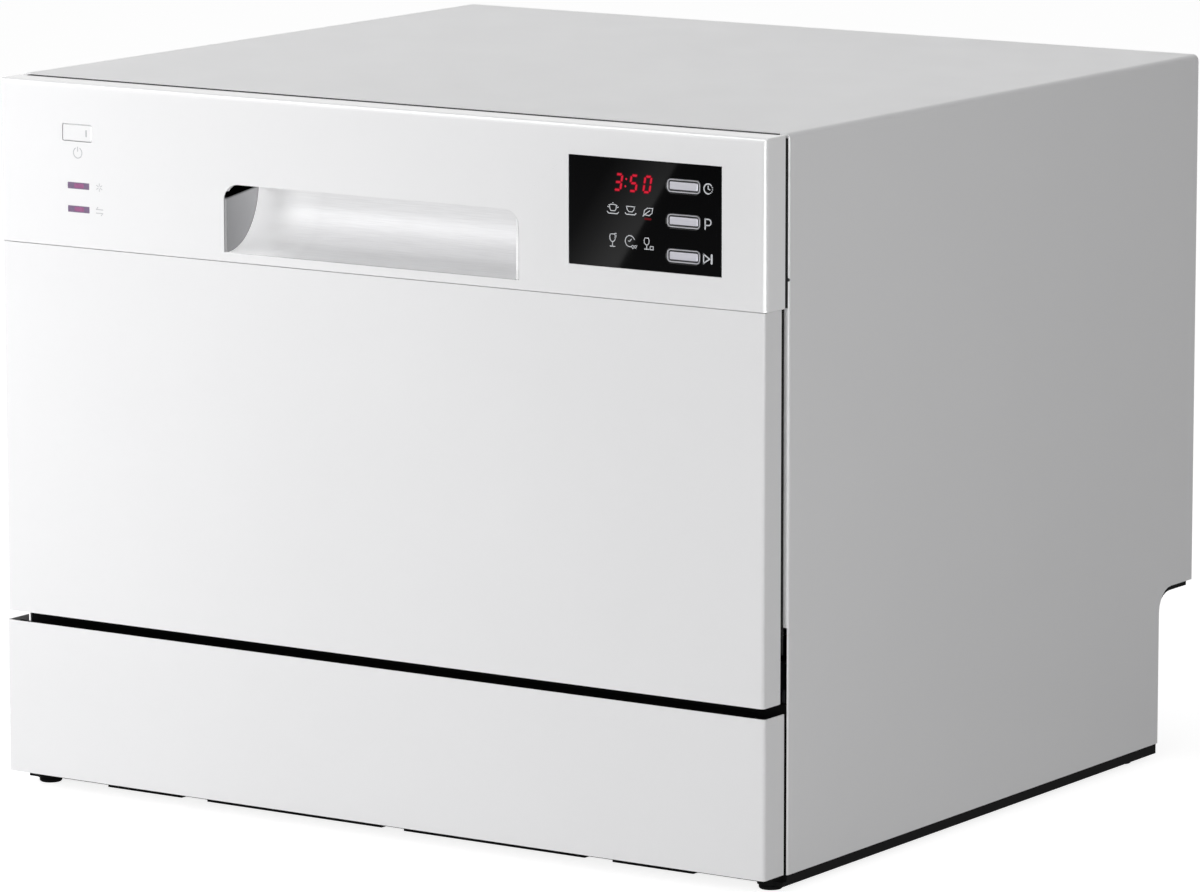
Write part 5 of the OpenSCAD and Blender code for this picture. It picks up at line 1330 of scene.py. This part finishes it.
def build_inlet():
    """The water inlet: its solenoid valve and the threaded spigot."""
    low, high = box_mm("inlet_valve")
    x = (low.x + high.x) / 2
    z = low.z + 20.0
    spigot = 13.2
    start = high.y - 29.0
    valve = Shape()
    valve.lathe([(high.y - 8, 9.2), (high.y, 9.2), (high.y, 11.2), (high.y - 1.2, 12.0), (start, 12.0),
                 (start - 2, 15), (start - 14, 15), (start - 14, 9.2)], (x, 0, z), (0, 1, 0), 48, closed=True)
    turns = 7
    steps = turns * 24
    for_thread = []
    for i in range(steps + 1):
        a = 2 * math.pi * i / 24
        y = start + 6 + (high.y - start - 9) * i / steps
        for_thread.append((x + 12.15 * math.cos(a), y, z + 12.15 * math.sin(a)))
    valve.tube(for_thread, spigot - 12.15, 6)
    body = rounded_rectangle(x - 20, x + 20, z - 20, z + 20, 3)
    valve.plate(body, [], low.y + 16.2, start, 1.0)
    valve.lathe([(z + 19, 15), (z + 40, 15), (z + 42, 13)], (x, start - 24, 0), (0, 0, 1), 40)
    valve.lathe([(low.y, 4.5), (low.y + 17, 4.5)], (x, 0, z), (0, 1, 0), 24)
    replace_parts(valve.piece("inlet_valve_body", "cabinet", "pale", "light_plastic"), "inlet_valve")


SHADE_STRIP_TOP = -0.25
SHADE_STRIP_FOOT = 138


def build_door_shade_strips():
    """Black strips on the wrapper's front flange, along its top and down both sides: painted shade in the gap beside
    the door.
    """
    low, high = box_mm("outer_wrapper")
    fascia_low, fascia_high = box_mm("control_fascia")
    shade_strips = Shape()
    across = high.x - 7
    top = fascia_high.z - SHADE_STRIP_TOP
    shade_strips.plate([(-across, top - 7), (across, top - 7), (across, top), (-across, top)], [],
                fascia_high.y + 0.4, low.y + 0.6)
    for side in (-1, 1):
        step = fascia_low.z
        profile = [(15, SHADE_STRIP_FOOT), (15, top - 7.1), (6.9, top - 7.1), (6.9, top - 2.2), (1.1, top - 2.2),
                   (1.1, step), (3.4, step), (3.4, SHADE_STRIP_FOOT)]
        loop = [(side * (high.x - inset_x), z) for inset_x, z in profile]
        shade_strips.plate(loop if area(loop) > 0 else loop[::-1], [], low.y - 0.35, low.y + 0.1)
    shade_strips.piece("door_shade_strips", "cabinet", "shade_black", "rubber")


def build_wrapper_hole_shade():
    """A small black disc in the wrapper's front fold beside the door: painted shade of a small hole there."""
    low, high = box_mm("outer_wrapper")
    hole_shade = Shape()
    hole_shade.lathe([(low.y - 0.4, 0.0001), (low.y - 0.4, 0.7), (low.y + 0.2, 1.0), (low.y + 0.9, 1.0)],
               (high.x - 1.15, 0, 354.6), (0, 1, 0), 20)
    hole_shade.piece("wrapper_hole_shade", "cabinet", "black", "black_plastic")


add_camera()
add_world()
add_lights()
add_floor()
add_reflection_card()
dress_nodes()
build_window()
for key_node in ("start_button", "program_button", "delay_button"):
    build_programme_key(key_node)
build_power_key()
build_lenses()
draw_fascia_marks()
build_rack()
for shelf_side in (-1, 1):
    build_shelf(shelf_side)
build_spray_arm()
build_inlet()
build_door_shade_strips()
build_wrapper_hole_shade()

bpy.context.scene.view_settings.view_transform = "Standard"
bpy.context.view_layer.update()
